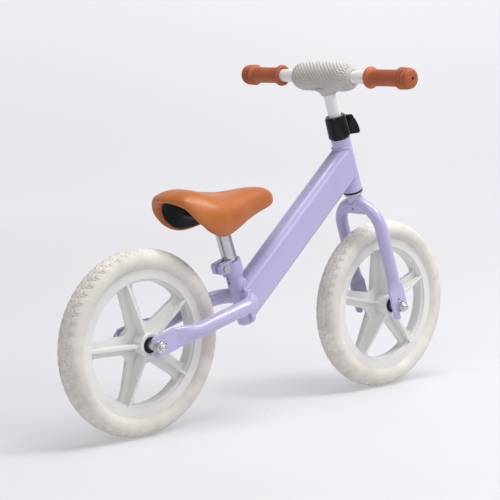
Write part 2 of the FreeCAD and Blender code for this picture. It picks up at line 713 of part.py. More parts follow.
def build_bushings():
    """Flanged plastic sleeves that the steerer turns in, one at each end of the head tube."""
    inner = D["steerer_diameter"] / 2 + D["running_gap"]
    seat = D["head_diameter"] / 2 - D["head_wall"] - 0.02
    flange = D["head_diameter"] / 2 + 0.4
    depth, lip = D["bushing_depth"], D["bushing_flange"]
    low = D["head_bottom"] - 0.02
    high = D["head_top"] + 0.02
    node("head_bushing_lower", in_group(revolved([
        (inner, low - lip), (flange - 0.5, low - lip), (flange, low - lip + 0.5), (flange, low),
        (seat, low), (seat, low + depth), (inner, low + depth),
    ]), HEAD))
    node("head_bushing_upper", in_group(revolved([
        (inner, high - depth), (seat, high - depth), (seat, high), (seat + 1.8, high),
        (seat + 1.8, high + 0.3), (inner, high + 0.3),
    ]), HEAD))


def build_seat_tube():
    """Seat tube: open top with a keyhole slit at the rear, rounded closed foot below the stays."""
    outer = D["seat_tube_diameter"] / 2
    inner = outer - D["seat_tube_wall"]
    bottom, top = D["seat_tube_bottom"], D["seat_tube_top"]
    round_foot = 6
    wall = revolved([
        (0, bottom), (outer - round_foot, bottom, round_foot), (outer, bottom + round_foot), (outer, top),
        (inner, top), (inner, bottom + 12), (0, bottom + 12),
    ])
    slit = block(40, D["seat_slit"], top - D["keyhole_height"] + 2, x=-40, z=D["keyhole_height"])
    eye = place(doc.addObject("Part::Cylinder", "keyhole"), x=-40, z=D["keyhole_height"], turn=90)
    bind(eye, Radius=D["keyhole_diameter"] / 2, Height=40)
    node("seat_tube", in_group(cut(wall, slit, eye), SEAT))


def build_seat_clamp():
    """Pinch collar with two rearward ears, its bolt and its nut."""
    inner = D["seat_tube_diameter"] / 2 + 0.05
    outer = inner + D["collar_wall"]
    bottom, height = D["collar_bottom"], D["collar_height"]
    ring = cylinder(outer, height, z=bottom)
    spread = D["collar_gap"] + 2 * D["collar_ear_thickness"]
    ear_low, ear_height = D["collar_ear_bottom"], D["collar_ear_height"]
    ears = block(D["collar_ear_reach"], spread, ear_height, x=-D["collar_ear_reach"], z=ear_low)
    bore = cylinder(inner, height + 20, z=bottom - 1)
    gap = block(60, D["collar_gap"], height + 20, x=-60, z=bottom - 1)
    reach, middle = -D["seat_bolt_reach"], ear_low + ear_height / 2
    bolt_hole = cylinder_along_y(D["seat_bolt_diameter"] / 2 + 0.2, 60, x=reach, y=-30, z=middle)
    corners = round_block_ends(ears, -D["collar_ear_reach"], 5)
    node("seat_clamp_collar", in_group(cut(fuse(ring, corners), bore, gap, bolt_hole), SEAT))
    shank_half = spread / 2
    shank = cylinder_along_y(D["seat_bolt_diameter"] / 2, 2 * shank_half + 7, x=reach,
                             y=-shank_half - 0.5, z=middle)
    head = cylinder_along_y(D["seat_bolt_head"], 5, x=reach, y=-shank_half - 5.05, z=middle)
    socket = cylinder_along_y(2.4, 3, x=reach, y=-shank_half - 6, z=middle)
    node("seat_clamp_bolt", in_group(cut(fuse(shank, head), socket), SEAT))
    nut = doc.addObject("Part::Prism", "nut")
    nut.Polygon = 6
    bind(nut, Circumradius=D["seat_bolt_head"] + 0.6, Height=5)
    place(nut, x=reach, y=shank_half + 0.05, z=middle, turn=-90, axis=(1, 0, 0))
    hole = cylinder_along_y(D["seat_bolt_diameter"] / 2 + 0.02, 9, x=reach, y=shank_half - 2, z=middle)
    node("seat_clamp_nut", in_group(cut(nut, hole), SEAT))


def round_block_ends(box, x, radius):
    """Round the two long corners of an ear at x, along Y."""
    doc.recompute()
    fillet = doc.addObject("Part::Fillet", "rounded_ear")
    fillet.Base = box
    edges = []
    for i, edge in enumerate(box.Shape.Edges):
        along_y = abs(edge.Vertexes[0].Point.y - edge.Vertexes[1].Point.y) > 1
        if along_y and abs(edge.CenterOfMass.x - value_of(x)) < 0.01:
            edges.append((i + 1, radius, radius))
    fillet.Edges = edges
    return fillet


# ---------------------------------------------------------------- handlebar
def build_handlebar():
    radius = D["stem_diameter"] / 2
    stem = tube(radius, D["stem_wall"], D["bar_height"] - D["stem_bottom"], z=D["stem_bottom"])
    bar_solid = cylinder_along_y(radius, 2 * D["bar_half"], y=-D["bar_half"], z=D["bar_height"])
    bar_bore = cylinder_along_y(radius - D["stem_wall"], 2 * D["bar_half"] + 2, y=-D["bar_half"] - 1,
                                z=D["bar_height"])
    node("stem_tube", in_group(cut(stem, bar_solid), HEAD))
    node("handlebar_tube", in_group(cut(bar_solid, bar_bore), HEAD))
    grip = build_grip()
    left = moved_copy(grip, z=D["bar_height"], turn=-90, axis=(1, 0, 0))
    node("grip_left", in_group(left, HEAD))
    node("grip_right", in_group(mirrored(left), HEAD))
    build_pad()


def build_grip():
    """Grip of revolution about local Z: inner flange, shaft, three outer rings, domed end."""
    inner, outer = D["grip_inner"], D["grip_outer"]
    shaft, ring, flange = D["grip_shaft"], D["grip_ring"], D["grip_flange"]
    bore, end = D["grip_bore"], D["bar_half"] + 0.05
    ring_start = outer - 27
    points = [
        (bore, inner), (flange - 3, inner), (flange, inner + 3), (flange, inner + 6),
        (flange - 2, inner + 8), (shaft, inner + 12), (shaft, ring_start - 4),
    ]
    groove = 1.4
    for i in range(3):
        z = ring_start + 6 * i
        top = ring - 0.7 * i
        points += [(top - groove, z), (top, z + 1), (top, z + 4.5), (top - groove, z + 5.5)]
    points += [
        (ring - 3, outer - 6), (ring - 8, outer - 1.5), (D["grip_hole"], outer),
        (D["grip_hole"], end), (bore, end),
    ]
    return revolved(points)


def build_pad():
    """Padded sleeve round the middle of the bar with a skirt down the stem, and its closure tab."""
    half, radius = D["pad_half"], D["pad_radius"]
    end = D["pad_end_radius"]
    bore = D["stem_diameter"] / 2 + 0.1
    body = revolved([
        (bore, -half), (end, -half), (radius - 3.5, -half + 6), (radius, -half + 15),
        (radius, half - 15), (radius - 3.5, half - 6), (end, half), (bore, half),
    ])
    sleeve = moved_copy(body, z=D["bar_height"], turn=-90, axis=(1, 0, 0))
    drop = D["pad_skirt_drop"]
    skirt = cylinder(D["stem_diameter"] / 2 + 2.6, drop, z=D["bar_height"] - drop)
    column = cylinder(bore, drop + 6, z=D["bar_height"] - drop - 6)
    tunnel = cylinder_along_y(bore, 2 * half + 4, y=-half - 2, z=D["bar_height"])
    node("bar_pad", in_group(cut(fuse(sleeve, skirt), column, tunnel), HEAD))
    tab = block(10, 9, 2.2, x=2, y=-20, z=D["bar_height"] - radius - 2.4)
    node("pad_closure", in_group(tab, HEAD))


# ---------------------------------------------------------------- stem clamp
def build_clamp():
    """Split clamp round the steerer with forward ears, through bolt and a curved cam lever."""
    inner = D["steerer_diameter"] / 2 + 0.05
    bottom, height, outer = D["clamp_bottom"], D["clamp_height"], D["clamp_radius"]
    barrel = revolved([
        (inner, bottom), (outer - 1.5, bottom), (outer + 0.5, bottom + 3), (outer - 0.5, bottom + height - 4),
        (outer - 2.5, bottom + height), (inner, bottom + height),
    ])
    pivot_x, pivot_z, lug = D["pivot_reach"], D["pivot_height"], D["ear_lug"]
    spread = D["clamp_slit"] + 2 * D["ear_thickness"]
    ears = padded("XZ", [
        (inner, D["ear_bottom"]), (pivot_x - 1, D["ear_bottom"]), (pivot_x + lug, pivot_z, lug),
        (pivot_x, pivot_z + lug), (outer + 2, D["ear_top"] - 2), (outer - 2, D["ear_top"]),
        (inner, D["ear_top"]),
    ], spread)
    bore = cylinder(inner, height + 20, z=bottom - 10)
    slit = block(60, D["clamp_slit"], height + 2, z=bottom - 1)
    radius = D["clamp_bolt_diameter"] / 2
    hole = cylinder_along_y(radius + 0.1, 60, x=pivot_x, y=-30, z=pivot_z)
    collar = cut(fuse(barrel, ears), bore, slit, hole)
    node("stem_clamp_collar", in_group(collar, HEAD))
    half = D["lever_width"] / 2 + 0.4
    head = cylinder_along_y(D["clamp_bolt_head"], 2, x=pivot_x, y=-half - 2, z=pivot_z)
    shank = cylinder_along_y(radius, 2 * half + 3, x=pivot_x, y=-half - 1, z=pivot_z)
    node("stem_clamp_bolt", in_group(fuse(head, shank), HEAD))
    nut_hole = cylinder_along_y(radius + 0.02, 6, x=pivot_x, y=half - 2, z=pivot_z)
    nut = cut(cylinder_along_y(D["clamp_bolt_head"], 2.5, x=pivot_x, y=half, z=pivot_z), nut_hole)
    node("stem_clamp_nut", in_group(nut, HEAD))
    build_lever(spread, radius)


def build_lever(ears_spread, bolt_radius):
    """Cam lever: two cheeks on the cross bolt, joined in front by a curved shell over the ears."""
    pivot_x, pivot_z, lug = D["pivot_reach"], D["pivot_height"], D["lever_lug"]
    tip_x, tip_z, wall = D["lever_tip_reach"], D["lever_tip_height"], D["lever_wall"]
    arc = D["lever_arc"]
    hood = padded("XZ", [
        (pivot_x - lug, tip_z + 4), (tip_x - 3, tip_z - 1), (tip_x, tip_z + 1, arc),
        (pivot_x + lug, pivot_z, lug), (pivot_x, pivot_z + lug, lug), (pivot_x - lug, pivot_z),
    ], D["lever_width"])
    inside = padded("XZ", [
        (0, tip_z - 9), (tip_x - wall, tip_z - 9), (tip_x - wall, tip_z + 1, arc - wall),
        (pivot_x + lug - 1.7, pivot_z), (pivot_x + lug - 1.7, pivot_z + 20), (0, pivot_z + 20),
    ], ears_spread + 0.6)
    hole = cylinder_along_y(bolt_radius + 0.08, 40, x=pivot_x, y=-20, z=pivot_z)
    node("clamp_lever", in_group(cut(hood, inside, hole), HEAD))


# ---------------------------------------------------------------- saddle
def saddle_loft(names, side, roof, floor):
    """Loft through the saddle stations, taken in at the sides, roof and floor."""
    sections = []
    for name in names:
        half = D[name + "_half_width"] - side
        low, high = D[name + "_low"] + floor, D[name + "_high"] - roof
        middle = low + (high - low) * 0.55
        sections.append(loose_sketch([
            (-half * 0.9, low), (half * 0.9, low), (half, middle), (half * 0.55, high - 1), (0, high),
            (-half * 0.55, high - 1), (-half, middle),
        ], x=D[name + "_x"], turn=120, axis=(1, 1, 1)))
    return lofted(sections, ruled=True)


def build_saddle():
    """Chrome post with a welded bracket, plastic shell and foam cushion moulded over it."""
    post = tube(D["post_diameter"] / 2, D["post_wall"], D["post_top"] - D["post_bottom"], z=D["post_bottom"])
    node("seat_post", in_group(post, SEAT))
    stations = [name for name, *_ in SADDLE_STATIONS]
    inner = stations[2:-2]
    foam, skirt, wall = D["foam_thickness"], D["skirt_thickness"], D["shell_thickness"]
    outside = saddle_loft(stations, 0, 0, 0)
    cavity = saddle_loft(inner, skirt - 0.1, foam - 0.1, -6)
    shell_room = saddle_loft(inner, skirt - 0.1, foam - 0.1, 1.4)
    shell = saddle_loft(inner, skirt, foam, 1.5)
    node("saddle_cushion", cut(outside, cavity, shell_room))
    hollow = saddle_loft(inner, skirt + wall, foam + wall, -8)
    post_room = in_group(cylinder(D["post_diameter"] / 2 + 0.3, 400, z=-100), SEAT)
    plate_z = D["bracket_height"]
    bracket_room = block(57, 45, D["bracket_thickness"] + 0.5, x=-136.5, z=plate_z - 0.2)
    node("saddle_base", cut(shell, hollow, post_room, bracket_room))
    post_solid = in_group(cylinder(D["post_diameter"] / 2 + 0.02, 400, z=-100), SEAT)
    bracket = block(56, 44, D["bracket_thickness"], x=-136, z=plate_z)
    node("saddle_bracket", cut(bracket, post_solid))
    screws = []
    for x in (-131, -85):
        for y in (-16, 16):
            screws.append(cylinder(D["screw_diameter"], 3, x=x, y=y, z=plate_z - 3.05))
    node("saddle_screws", group(*screws))


build_wheel("rear", -D["half_wheelbase"], D["rear_spoke_angle"])
build_wheel("front", D["half_wheelbase"], D["front_spoke_angle"])
axle_hardware("rear", -D["half_wheelbase"], D["stay_half_width"], D["rear_axle_half"])
axle_hardware("front", D["half_wheelbase"], D["fork_half_width"], D["front_axle_half"])
build_fork()
build_frame()
build_handlebar()
build_clamp()
build_saddle()
doc.recompute()

# ---------------------------------------------------------------- checks and export
broken = [f"{o.Name} ({o.Label})" for o in doc.Objects if "Invalid" in o.State or "Error" in o.State]
if broken:
    raise RuntimeError("failed objects: " + ", ".join(broken))
for name, thing in NODES.items():
    shape = thing.Shape
    if shape.isNull() or not shape.isValid() or not shape.Solids:
        raise RuntimeError("bad shape: " + name)
    box = shape.BoundBox
    print(f"{name:22s} solids {len(shape.Solids):2d} volume {shape.Volume / 1000:8.2f} cm3  "
          f"x {box.XMin:7.1f} {box.XMax:7.1f}  y {box.YMin:7.1f} {box.YMax:7.1f}  "
          f"z {box.ZMin:7.1f} {box.ZMax:7.1f}")
    shape.exportStep(os.path.join("parts", name + ".step"))
print(len(NODES), "nodes")
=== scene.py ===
"""Looks of the child's balance bike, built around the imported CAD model. Metres; +X forward, +Z up."""

import json
import math
from contextlib import contextmanager

import bmesh
import bpy
import numpy as np
from mathutils import Matrix, Vector


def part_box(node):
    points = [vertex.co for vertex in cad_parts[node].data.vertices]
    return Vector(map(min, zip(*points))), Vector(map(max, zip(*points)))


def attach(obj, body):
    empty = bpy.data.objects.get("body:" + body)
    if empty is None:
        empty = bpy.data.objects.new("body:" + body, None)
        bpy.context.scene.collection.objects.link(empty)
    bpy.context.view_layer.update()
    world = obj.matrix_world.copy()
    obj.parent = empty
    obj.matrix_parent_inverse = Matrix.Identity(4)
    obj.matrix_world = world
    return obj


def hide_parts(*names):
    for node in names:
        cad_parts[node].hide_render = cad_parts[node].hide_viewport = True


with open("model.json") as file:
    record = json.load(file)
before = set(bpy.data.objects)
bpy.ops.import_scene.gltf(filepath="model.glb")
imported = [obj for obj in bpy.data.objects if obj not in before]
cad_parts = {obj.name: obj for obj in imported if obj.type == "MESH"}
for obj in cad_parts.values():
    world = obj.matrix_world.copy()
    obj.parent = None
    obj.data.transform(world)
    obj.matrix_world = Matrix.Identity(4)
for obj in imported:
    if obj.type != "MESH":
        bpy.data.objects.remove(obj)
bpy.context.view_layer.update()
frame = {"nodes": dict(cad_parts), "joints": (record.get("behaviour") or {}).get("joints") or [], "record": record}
NODES = frame["nodes"]
JOINTS = {joint["name"]: joint for joint in frame["joints"]}
MM = 0.001


# ---------------------------------------------------------------- axes of the inclined groups
class Axes:
    """Local axes of an inclined group: forward, left (+Y) and up its own tube."""

    def __init__(self, origin, up):
        self.origin = np.array(origin, float)
        self.up = np.array(up, float) / np.linalg.norm(up)
        self.forward = np.cross((0, 1, 0), self.up)

    def at(self, forward, left, up):
        forward, left, up = (np.asarray(v, float)[..., None] for v in (forward, left, up))
        return self.origin + forward * self.forward + left * np.array((0, 1.0, 0)) + up * self.up

    def local(self, point):
        """Forward, left and up of a point in the part's frame."""
        offset = np.asarray(point, float) - self.origin
        return offset @ self.forward, offset[..., 1], offset @ self.up


HEAD = Axes(JOINTS["steering"]["pos_m"], JOINTS["steering"]["axis"])
SEAT_UP = JOINTS["seat_height"]["axis"]
SEAT_TUBE_TOP = 65 * MM
SEAT = Axes(np.array(JOINTS["seat_height"]["pos_m"]) - SEAT_TUBE_TOP * np.array(SEAT_UP), SEAT_UP)


# ---------------------------------------------------------------- mesh helpers
def linked(name, data):
    """A new object of the data, in the scene."""
    thing = bpy.data.objects.new(name, data)
    bpy.context.scene.collection.objects.link(thing)
    return thing


def shade_smooth(mesh):
    mesh.polygons.foreach_set("use_smooth", [True] * len(mesh.polygons))


@contextmanager
def mesh_edit(mesh):
    """A bmesh of the mesh, which is written back afterwards."""
    bm = bmesh.new()
    bm.from_mesh(mesh)
    yield bm
    bm.to_mesh(mesh)
    bm.free()


def make_object(name, verts, faces):
    mesh = bpy.data.meshes.new(name)
    mesh.from_pydata([tuple(v) for v in verts], [], [tuple(f) for f in faces])
    mesh.validate()
    mesh.update()
    shade_smooth(mesh)
    return linked(name, mesh)


def grid_object(name, points, wrap_rows=True, cap_rows=False):
    """Surface through a rows x columns array of points; every row is closed, and the rows may be too."""
    rows, columns = points.shape[:2]
    index = np.arange(rows * columns).reshape(rows, columns)
    lower = index if wrap_rows else index[:-1]
    upper = np.roll(index, -1, axis=0) if wrap_rows else index[1:]
    quads = np.stack([lower, np.roll(lower, -1, 1), np.roll(upper, -1, 1), upper], -1)
    faces = quads.reshape(-1, 4).tolist()
    if cap_rows:
        faces += [index[0].tolist()[::-1], index[-1].tolist()]
    thing = make_object(name, points.reshape(-1, 3), faces)
    with mesh_edit(thing.data) as bm:
        bmesh.ops.recalc_face_normals(bm, faces=bm.faces)
    return thing


def filleted(points, radius, steps=4):
    """Corner points of a closed outline with every corner turned into a short curve."""
    points = [np.array(p, float) for p in points]
    count = len(points)
    result = []
    for i, corner in enumerate(points):
        before, after = points[i - 1] - corner, points[(i + 1) % count] - corner
        reach = min(radius, 0.45 * np.linalg.norm(before), 0.45 * np.linalg.norm(after))
        start = corner + before / np.linalg.norm(before) * reach
        end = corner + after / np.linalg.norm(after) * reach
        for t in np.linspace(0, 1, steps + 1):
            result.append((1 - t) ** 2 * start + 2 * t * (1 - t) * corner + t ** 2 * end)
    return np.array(result)


def lathe(name, profile, origin, axis, segments, closed=True):
    """Surface of revolution; profile rows are (radius, distance along the axis)."""
    axis = np.array(axis, float) / np.linalg.norm(axis)
    side = np.cross(axis, (0.0, 0.0, 1.0)) if abs(axis[2]) < 0.9 else np.cross(axis, (0.0, 1.0, 0.0))
    side /= np.linalg.norm(side)
    other = np.cross(axis, side)
    angle = np.linspace(0, 2 * math.pi, segments, endpoint=False)
    ring = np.cos(angle)[:, None] * side + np.sin(angle)[:, None] * other
    profile = np.asarray(profile, float)
    points = (np.array(origin, float) + profile[:, 1][:, None, None] * axis
              + profile[:, 0][:, None, None] * ring[None])
    return grid_object(name, points, wrap_rows=closed)


def spline(knots, values, x):
    """Smooth curve through values at the knots (Catmull-Rom slopes)."""
    knots, values = np.asarray(knots, float), np.asarray(values, float)
    slopes = np.gradient(values, knots)
    x = np.clip(x, knots[0], knots[-1])
    i = np.clip(np.searchsorted(knots, x, side="right") - 1, 0, len(knots) - 2)
    width = knots[i + 1] - knots[i]
    t = (x - knots[i]) / width
    return ((2 * t ** 3 - 3 * t ** 2 + 1) * values[i] + (t ** 3 - 2 * t ** 2 + t) * width * slopes[i]
            + (-2 * t ** 3 + 3 * t ** 2) * values[i + 1] + (t ** 3 - t ** 2) * width * slopes[i + 1])


def resampled(points, spacing):
    """Points at even spacing along a closed line."""
    closed = np.vstack([points, points[:1]])
    length = np.concatenate([[0], np.cumsum(np.linalg.norm(np.diff(closed, axis=0), axis=1))])
    count = max(8, int(round(length[-1] / spacing)))
    stops = np.linspace(0, length[-1], count, endpoint=False)
    return np.stack([np.interp(stops, length, closed[:, k]) for k in range(3)], -1)


def smooth_step(low, high, x):
    t = np.clip((x - low) / (high - low), 0, 1)
    return t * t * (3 - 2 * t)


SAME_POINT = 0.002 * MM
FLAT_ANGLE = math.radians(0.6)
SHARP_ANGLE = math.radians(28)


def refined_copy(node, name, width, segments=2):
    """A piece with the CAD node's shape and softly rounded edges."""
    source = NODES[node].data
    bm = bmesh.new()
    for vertex in source.vertices:
        bm.verts.new(vertex.co)
    bm.verts.ensure_lookup_table()
    for polygon in source.polygons:
        try:
            bm.faces.new([bm.verts[i] for i in polygon.vertices])
        except ValueError:
            continue
    bmesh.ops.remove_doubles(bm, verts=bm.verts, dist=SAME_POINT)
    bmesh.ops.dissolve_limit(bm, angle_limit=FLAT_ANGLE, verts=bm.verts, edges=bm.edges)
    bmesh.ops.recalc_face_normals(bm, faces=bm.faces)
    mesh = bpy.data.meshes.new(name)
    bm.to_mesh(mesh)
    bm.free()
    shade_smooth(mesh)
    thing = linked(name, mesh)
    bevel = thing.modifiers.new("rounded_edges", "BEVEL")
    bevel.width = width
    bevel.segments = segments
    bevel.limit_method = "ANGLE"
    bevel.angle_limit = SHARP_ANGLE
    bevel.harden_normals = True
    bevel.use_clamp_overlap = True
    bevel.miter_outer = "MITER_ARC"
    return thing


def add_piece(thing, body, slot, replaces=()):
    """Finishes a piece: its material is the one of its slot, and it stands for the CAD nodes it replaces."""
    thing.data.materials.clear()
    thing.data.materials.append(MATERIALS[slot])
    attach(thing, body)
    if replaces:
        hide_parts(*replaces)
    return thing


# ---------------------------------------------------------------- materials
class Graph:
    """Small helper that builds one procedural material."""

    def __init__(self, name, **shader):
        self.material = bpy.data.materials.new(name)
        self.material.use_nodes = True
        self.tree = self.material.node_tree
        self.shader = self.tree.nodes["Principled BSDF"]
        for label, value in shader.items():
            self.shader.inputs[label.replace("_", " ")].default_value = value
        self.place = self.add("ShaderNodeTexCoord").outputs["Object"]

    def add(self, kind, **inputs):
        node = self.tree.nodes.new(kind)
        for label, value in inputs.items():
            self.feed(node.inputs[label.replace("_", " ")], value)
        return node

    def feed(self, socket, value):
        if isinstance(value, bpy.types.NodeSocket):
            self.tree.links.new(value, socket)
        else:
            socket.default_value = value

    def noise(self, scale, detail=2.0, roughness=0.5, stretch=None):
        place = self.place
        if stretch:
            place = self.add("ShaderNodeMapping", Vector=self.place, Scale=stretch).outputs["Vector"]
        return self.add("ShaderNodeTexNoise", Vector=place, Scale=scale, Detail=detail,
                        Roughness=roughness).outputs["Fac"]

    def cells(self, scale, feature="F1"):
        node = self.add("ShaderNodeTexVoronoi", Vector=self.place, Scale=scale)
        node.feature = feature
        return node.outputs["Distance"]

    def remap(self, value, low, high, new_low, new_high):
        node = self.add("ShaderNodeMapRange", Value=value)
        limits = {"From Min": low, "From Max": high, "To Min": new_low, "To Max": new_high}
        for label, number in limits.items():
            node.inputs[label].default_value = number
        return node.outputs["Result"]

    def mix(self, factor, first, second):
        node = self.tree.nodes.new("ShaderNodeMix")
        node.data_type = "RGBA"
        self.feed(node.inputs[0], factor)
        self.feed(node.inputs[6], first)
        self.feed(node.inputs[7], second)
        return node.outputs[2]

    def patches(self, scale, detail, low, high, first, second, roughness=0.5):
        """Two colours in soft patches; noise from low to high turns the first into the second."""
        return self.mix(self.remap(self.noise(scale, detail, roughness), low, high, 0, 1), first, second)

    def math(self, operation, first, second):
        node = self.tree.nodes.new("ShaderNodeMath")
        node.operation = operation
        self.feed(node.inputs[0], first)
        self.feed(node.inputs[1], second)
        return node.outputs[0]

    def vector(self, operation, first, second=None):
        node = self.tree.nodes.new("ShaderNodeVectorMath")
        node.operation = operation
        self.feed(node.inputs[0], first)
        if second is not None:
            self.feed(node.inputs[1], second)
        return node

    def color(self, value):
        self.feed(self.shader.inputs["Base Color"], value)

    def roughness(self, value):
        self.feed(self.shader.inputs["Roughness"], value)

    def bump(self, height, strength, distance):
        node = self.add("ShaderNodeBump", Height=height, Strength=strength, Distance=distance)
        last = self.shader.inputs["Normal"].links
        if last:
            self.tree.links.new(last[0].from_socket, node.inputs["Normal"])
        self.feed(self.shader.inputs["Normal"], node.outputs["Normal"])


def rgb(red, green, blue):
    """Linear colour from display values 0..255."""
    def linear(value):
        value /= 255
        return value / 12.92 if value <= 0.04045 else ((value + 0.055) / 1.055) ** 2.4
    return (linear(red), linear(green), linear(blue), 1.0)


def paint(name, base, shade, rough):
    graph = Graph(name, Coat_Weight=0.6, Coat_Roughness=0.1, Specular_IOR_Level=0.5)
    graph.color(graph.patches(9, 3, 0.35, 0.65, base, shade))
    graph.roughness(graph.remap(graph.noise(60, 3), 0.3, 0.7, rough - 0.012, rough + 0.016))
    graph.bump(graph.noise(420, 2), 0.10, 0.0004)
    graph.bump(graph.noise(24, 2), 0.004, 0.001)
    return graph.material


def foam_material():
    graph = Graph("tyre_foam", Specular_IOR_Level=0.35)
    tint = graph.patches(14, 4, 0.35, 0.7, rgb(226, 222, 214), rgb(210, 205, 198), roughness=0.6)
    dusty = graph.mix(graph.remap(graph.noise(45, 3), 0.5, 0.75, 0, 0.5), tint, rgb(190, 184, 177))
    graph.color(graph.mix(graph.remap(graph.cells(1500), 0.0, 0.25, 0.22, 0), dusty, rgb(188, 180, 172)))
    graph.roughness(graph.remap(graph.noise(120, 2), 0.3, 0.7, 0.66, 0.8))
    graph.bump(graph.cells(1500), 0.25, 0.0002)
    graph.bump(graph.noise(300, 3), 0.25, 0.0004)
    return graph.material


def rim_material():
    graph = Graph("rim_plastic", Specular_IOR_Level=0.5, Coat_Weight=0.15, Coat_Roughness=0.25)
    graph.color(graph.patches(10, 3, 0.35, 0.65, rgb(231, 230, 228), rgb(223, 221, 218)))
    graph.roughness(graph.remap(graph.noise(80, 3), 0.3, 0.7, 0.34, 0.44))
    graph.bump(graph.noise(500, 2), 0.12, 0.0002)
    graph.bump(graph.noise(30, 2), 0.06, 0.001)
    return graph.material


def leather_material():
    graph = Graph("saddle_leather", Specular_IOR_Level=0.5, Coat_Weight=0.12, Coat_Roughness=0.3)
    tint = graph.patches(12, 4, 0.3, 0.7, rgb(190, 108, 42), rgb(172, 92, 32), roughness=0.6)
    graph.color(graph.mix(graph.remap(graph.cells(900), 0.0, 0.5, 0.25, 0), tint, rgb(160, 82, 36)))
    graph.roughness(graph.remap(graph.noise(90, 3), 0.3, 0.7, 0.38, 0.5))
    graph.bump(graph.cells(900, "SMOOTH_F1"), 0.22, 0.0003)
    graph.bump(graph.noise(1500, 3), 0.12, 0.0002)
    graph.bump(graph.noise(18, 2), 0.12, 0.0015)
    return graph.material


def grip_material():
    graph = Graph("grip_rubber", Specular_IOR_Level=0.45)
    graph.color(graph.patches(25, 4, 0.3, 0.7, rgb(180, 97, 56), rgb(156, 77, 43)))
    graph.roughness(graph.remap(graph.noise(90, 3), 0.3, 0.7, 0.46, 0.6))
    graph.bump(graph.noise(900, 3), 0.25, 0.0002)
    return graph.material


def fabric_material():
    graph = Graph("pad_fabric", Specular_IOR_Level=0.2, Sheen_Weight=0.25, Sheen_Roughness=0.5)
    threads = graph.noise(900, 2, stretch=(1.0, 3.0, 1.0))
    tint = graph.patches(30, 3, 0.3, 0.7, rgb(204, 201, 196), rgb(191, 187, 182))
    graph.color(graph.mix(graph.remap(threads, 0.4, 0.7, 0, 0.5), tint, rgb(168, 164, 159)))
    graph.roughness(graph.remap(threads, 0.3, 0.7, 0.8, 0.95))
    graph.bump(threads, 0.5, 0.0004)
    graph.bump(graph.cells(1100), 0.35, 0.0003)
    return graph.material


def black_plastic(name, rough, coat, shine=0.35):
    graph = Graph(name, Coat_Weight=coat, Coat_Roughness=0.06, Specular_IOR_Level=shine)
    graph.color(graph.mix(graph.noise(20, 3), (0.006, 0.006, 0.007, 1), (0.012, 0.012, 0.014, 1)))
    graph.roughness(graph.remap(graph.noise(140, 3), 0.3, 0.7, rough - 0.04, rough + 0.06))
    graph.bump(graph.noise(700, 3), 0.12, 0.0002)
    return graph.material


def metal(name, tone, rough, streaks):
    graph = Graph(name, Metallic=1.0)
    darker = [0.9 * part for part in tone[:3]] + [1]
    graph.color(graph.patches(35, 3, 0.3, 0.7, tone, darker))
    fine = graph.noise(700, 3, stretch=streaks)
    graph.roughness(graph.remap(fine, 0.3, 0.7, rough * 0.85, rough * 1.2))
    graph.bump(fine, 0.02, 0.0002)
    return graph.material


MATERIALS = {
    "frame_paint": paint("frame_paint", rgb(185, 178, 217), rgb(182, 175, 215), 0.26),
    "race_metal": paint("race_metal", rgb(190, 184, 216), rgb(183, 178, 210), 0.3),
    "bar_metal": paint("bar_metal", rgb(238, 238, 235), rgb(231, 231, 228), 0.32),
    "tyre_foam": foam_material(),
    "rim_plastic": rim_material(),
    "saddle_leather": leather_material(),
    "grip_rubber": grip_material(),
    "pad_fabric": fabric_material(),
    "clamp_plastic": black_plastic("clamp_plastic", 0.16, 0.2, 0.15),
    "clamp_bolt_black": black_plastic("clamp_bolt_black", 0.22, 0.1, 0.2),
    "saddle_shell": black_plastic("saddle_shell", 0.45, 0.0, 0.15),
    "bushing_plastic": black_plastic("bushing_plastic", 0.45, 0.0),
    "bracket_steel": black_plastic("bracket_steel", 0.35, 0.1),
    "bearing_seal": black_plastic("bearing_seal", 0.5, 0.0),
    "pad_tab": black_plastic("pad_tab", 0.85, 0.0),
    "post_chrome": metal("post_chrome", (0.57, 0.58, 0.60, 1), 0.2, (1.0, 1.0, 0.15)),
    "bolt_steel": metal("bolt_steel", (0.66, 0.66, 0.66, 1), 0.26, (1.0, 1.0, 1.0)),
    "spacer_metal": metal("spacer_metal", (0.76, 0.76, 0.75, 1), 0.3, (1.0, 4.0, 1.0)),
}
SLOT_OF = {entry["node"]: entry["material_slot"] for entry in frame["record"]["subparts"]}
BODY_OF = {node: body for body, nodes in frame["record"]["behaviour"]["bodies"].items() for node in nodes}
for name, thing in NODES.items():
    if not thing.material_slots:
        thing.data.materials.append(None)
    for place in thing.material_slots:
        place.material = MATERIALS[SLOT_OF[name]]


# ---------------------------------------------------------------- camera, floor and lights
def camera_axes(yaw, pitch, roll):
    """Right, up and view directions of a level camera turned from +Y towards +X, tipped down and rolled."""
    ahead = np.array((math.sin(yaw) * math.cos(pitch), math.cos(yaw) * math.cos(pitch), -math.sin(pitch)))
    right = np.array((math.cos(yaw), -math.sin(yaw), 0.0))
    up = np.cross(right, ahead)
    return (math.cos(roll) * right + math.sin(roll) * up,
            -math.sin(roll) * right + math.cos(roll) * up, ahead)


CAMERA_PLACE = Vector((-1.7726, -1.9383, 0.6287))
right, up, ahead = camera_axes(math.radians(41.79), math.radians(7.74), math.radians(-0.19))
camera = linked("camera", bpy.data.cameras.new("camera"))
camera.data.sensor_width = 36
camera.data.lens = 113.86
camera.data.clip_start = 0.05
camera.matrix_world = Matrix((
    (right[0], up[0], -ahead[0], CAMERA_PLACE.x), (right[1], up[1], -ahead[1], CAMERA_PLACE.y),
    (right[2], up[2], -ahead[2], CAMERA_PLACE.z), (0, 0, 0, 1),
))
bpy.context.scene.camera = camera

FLOOR_DROP = 0.4 * MM
FLOOR_RADIUS, FLOOR_CURVE, WALL_TOP = 4.2, 2.2, 4.5
FLOOR_GLOW, FAR_GLOW, WALL_GLOW = 0.31, 0.57, 0.22
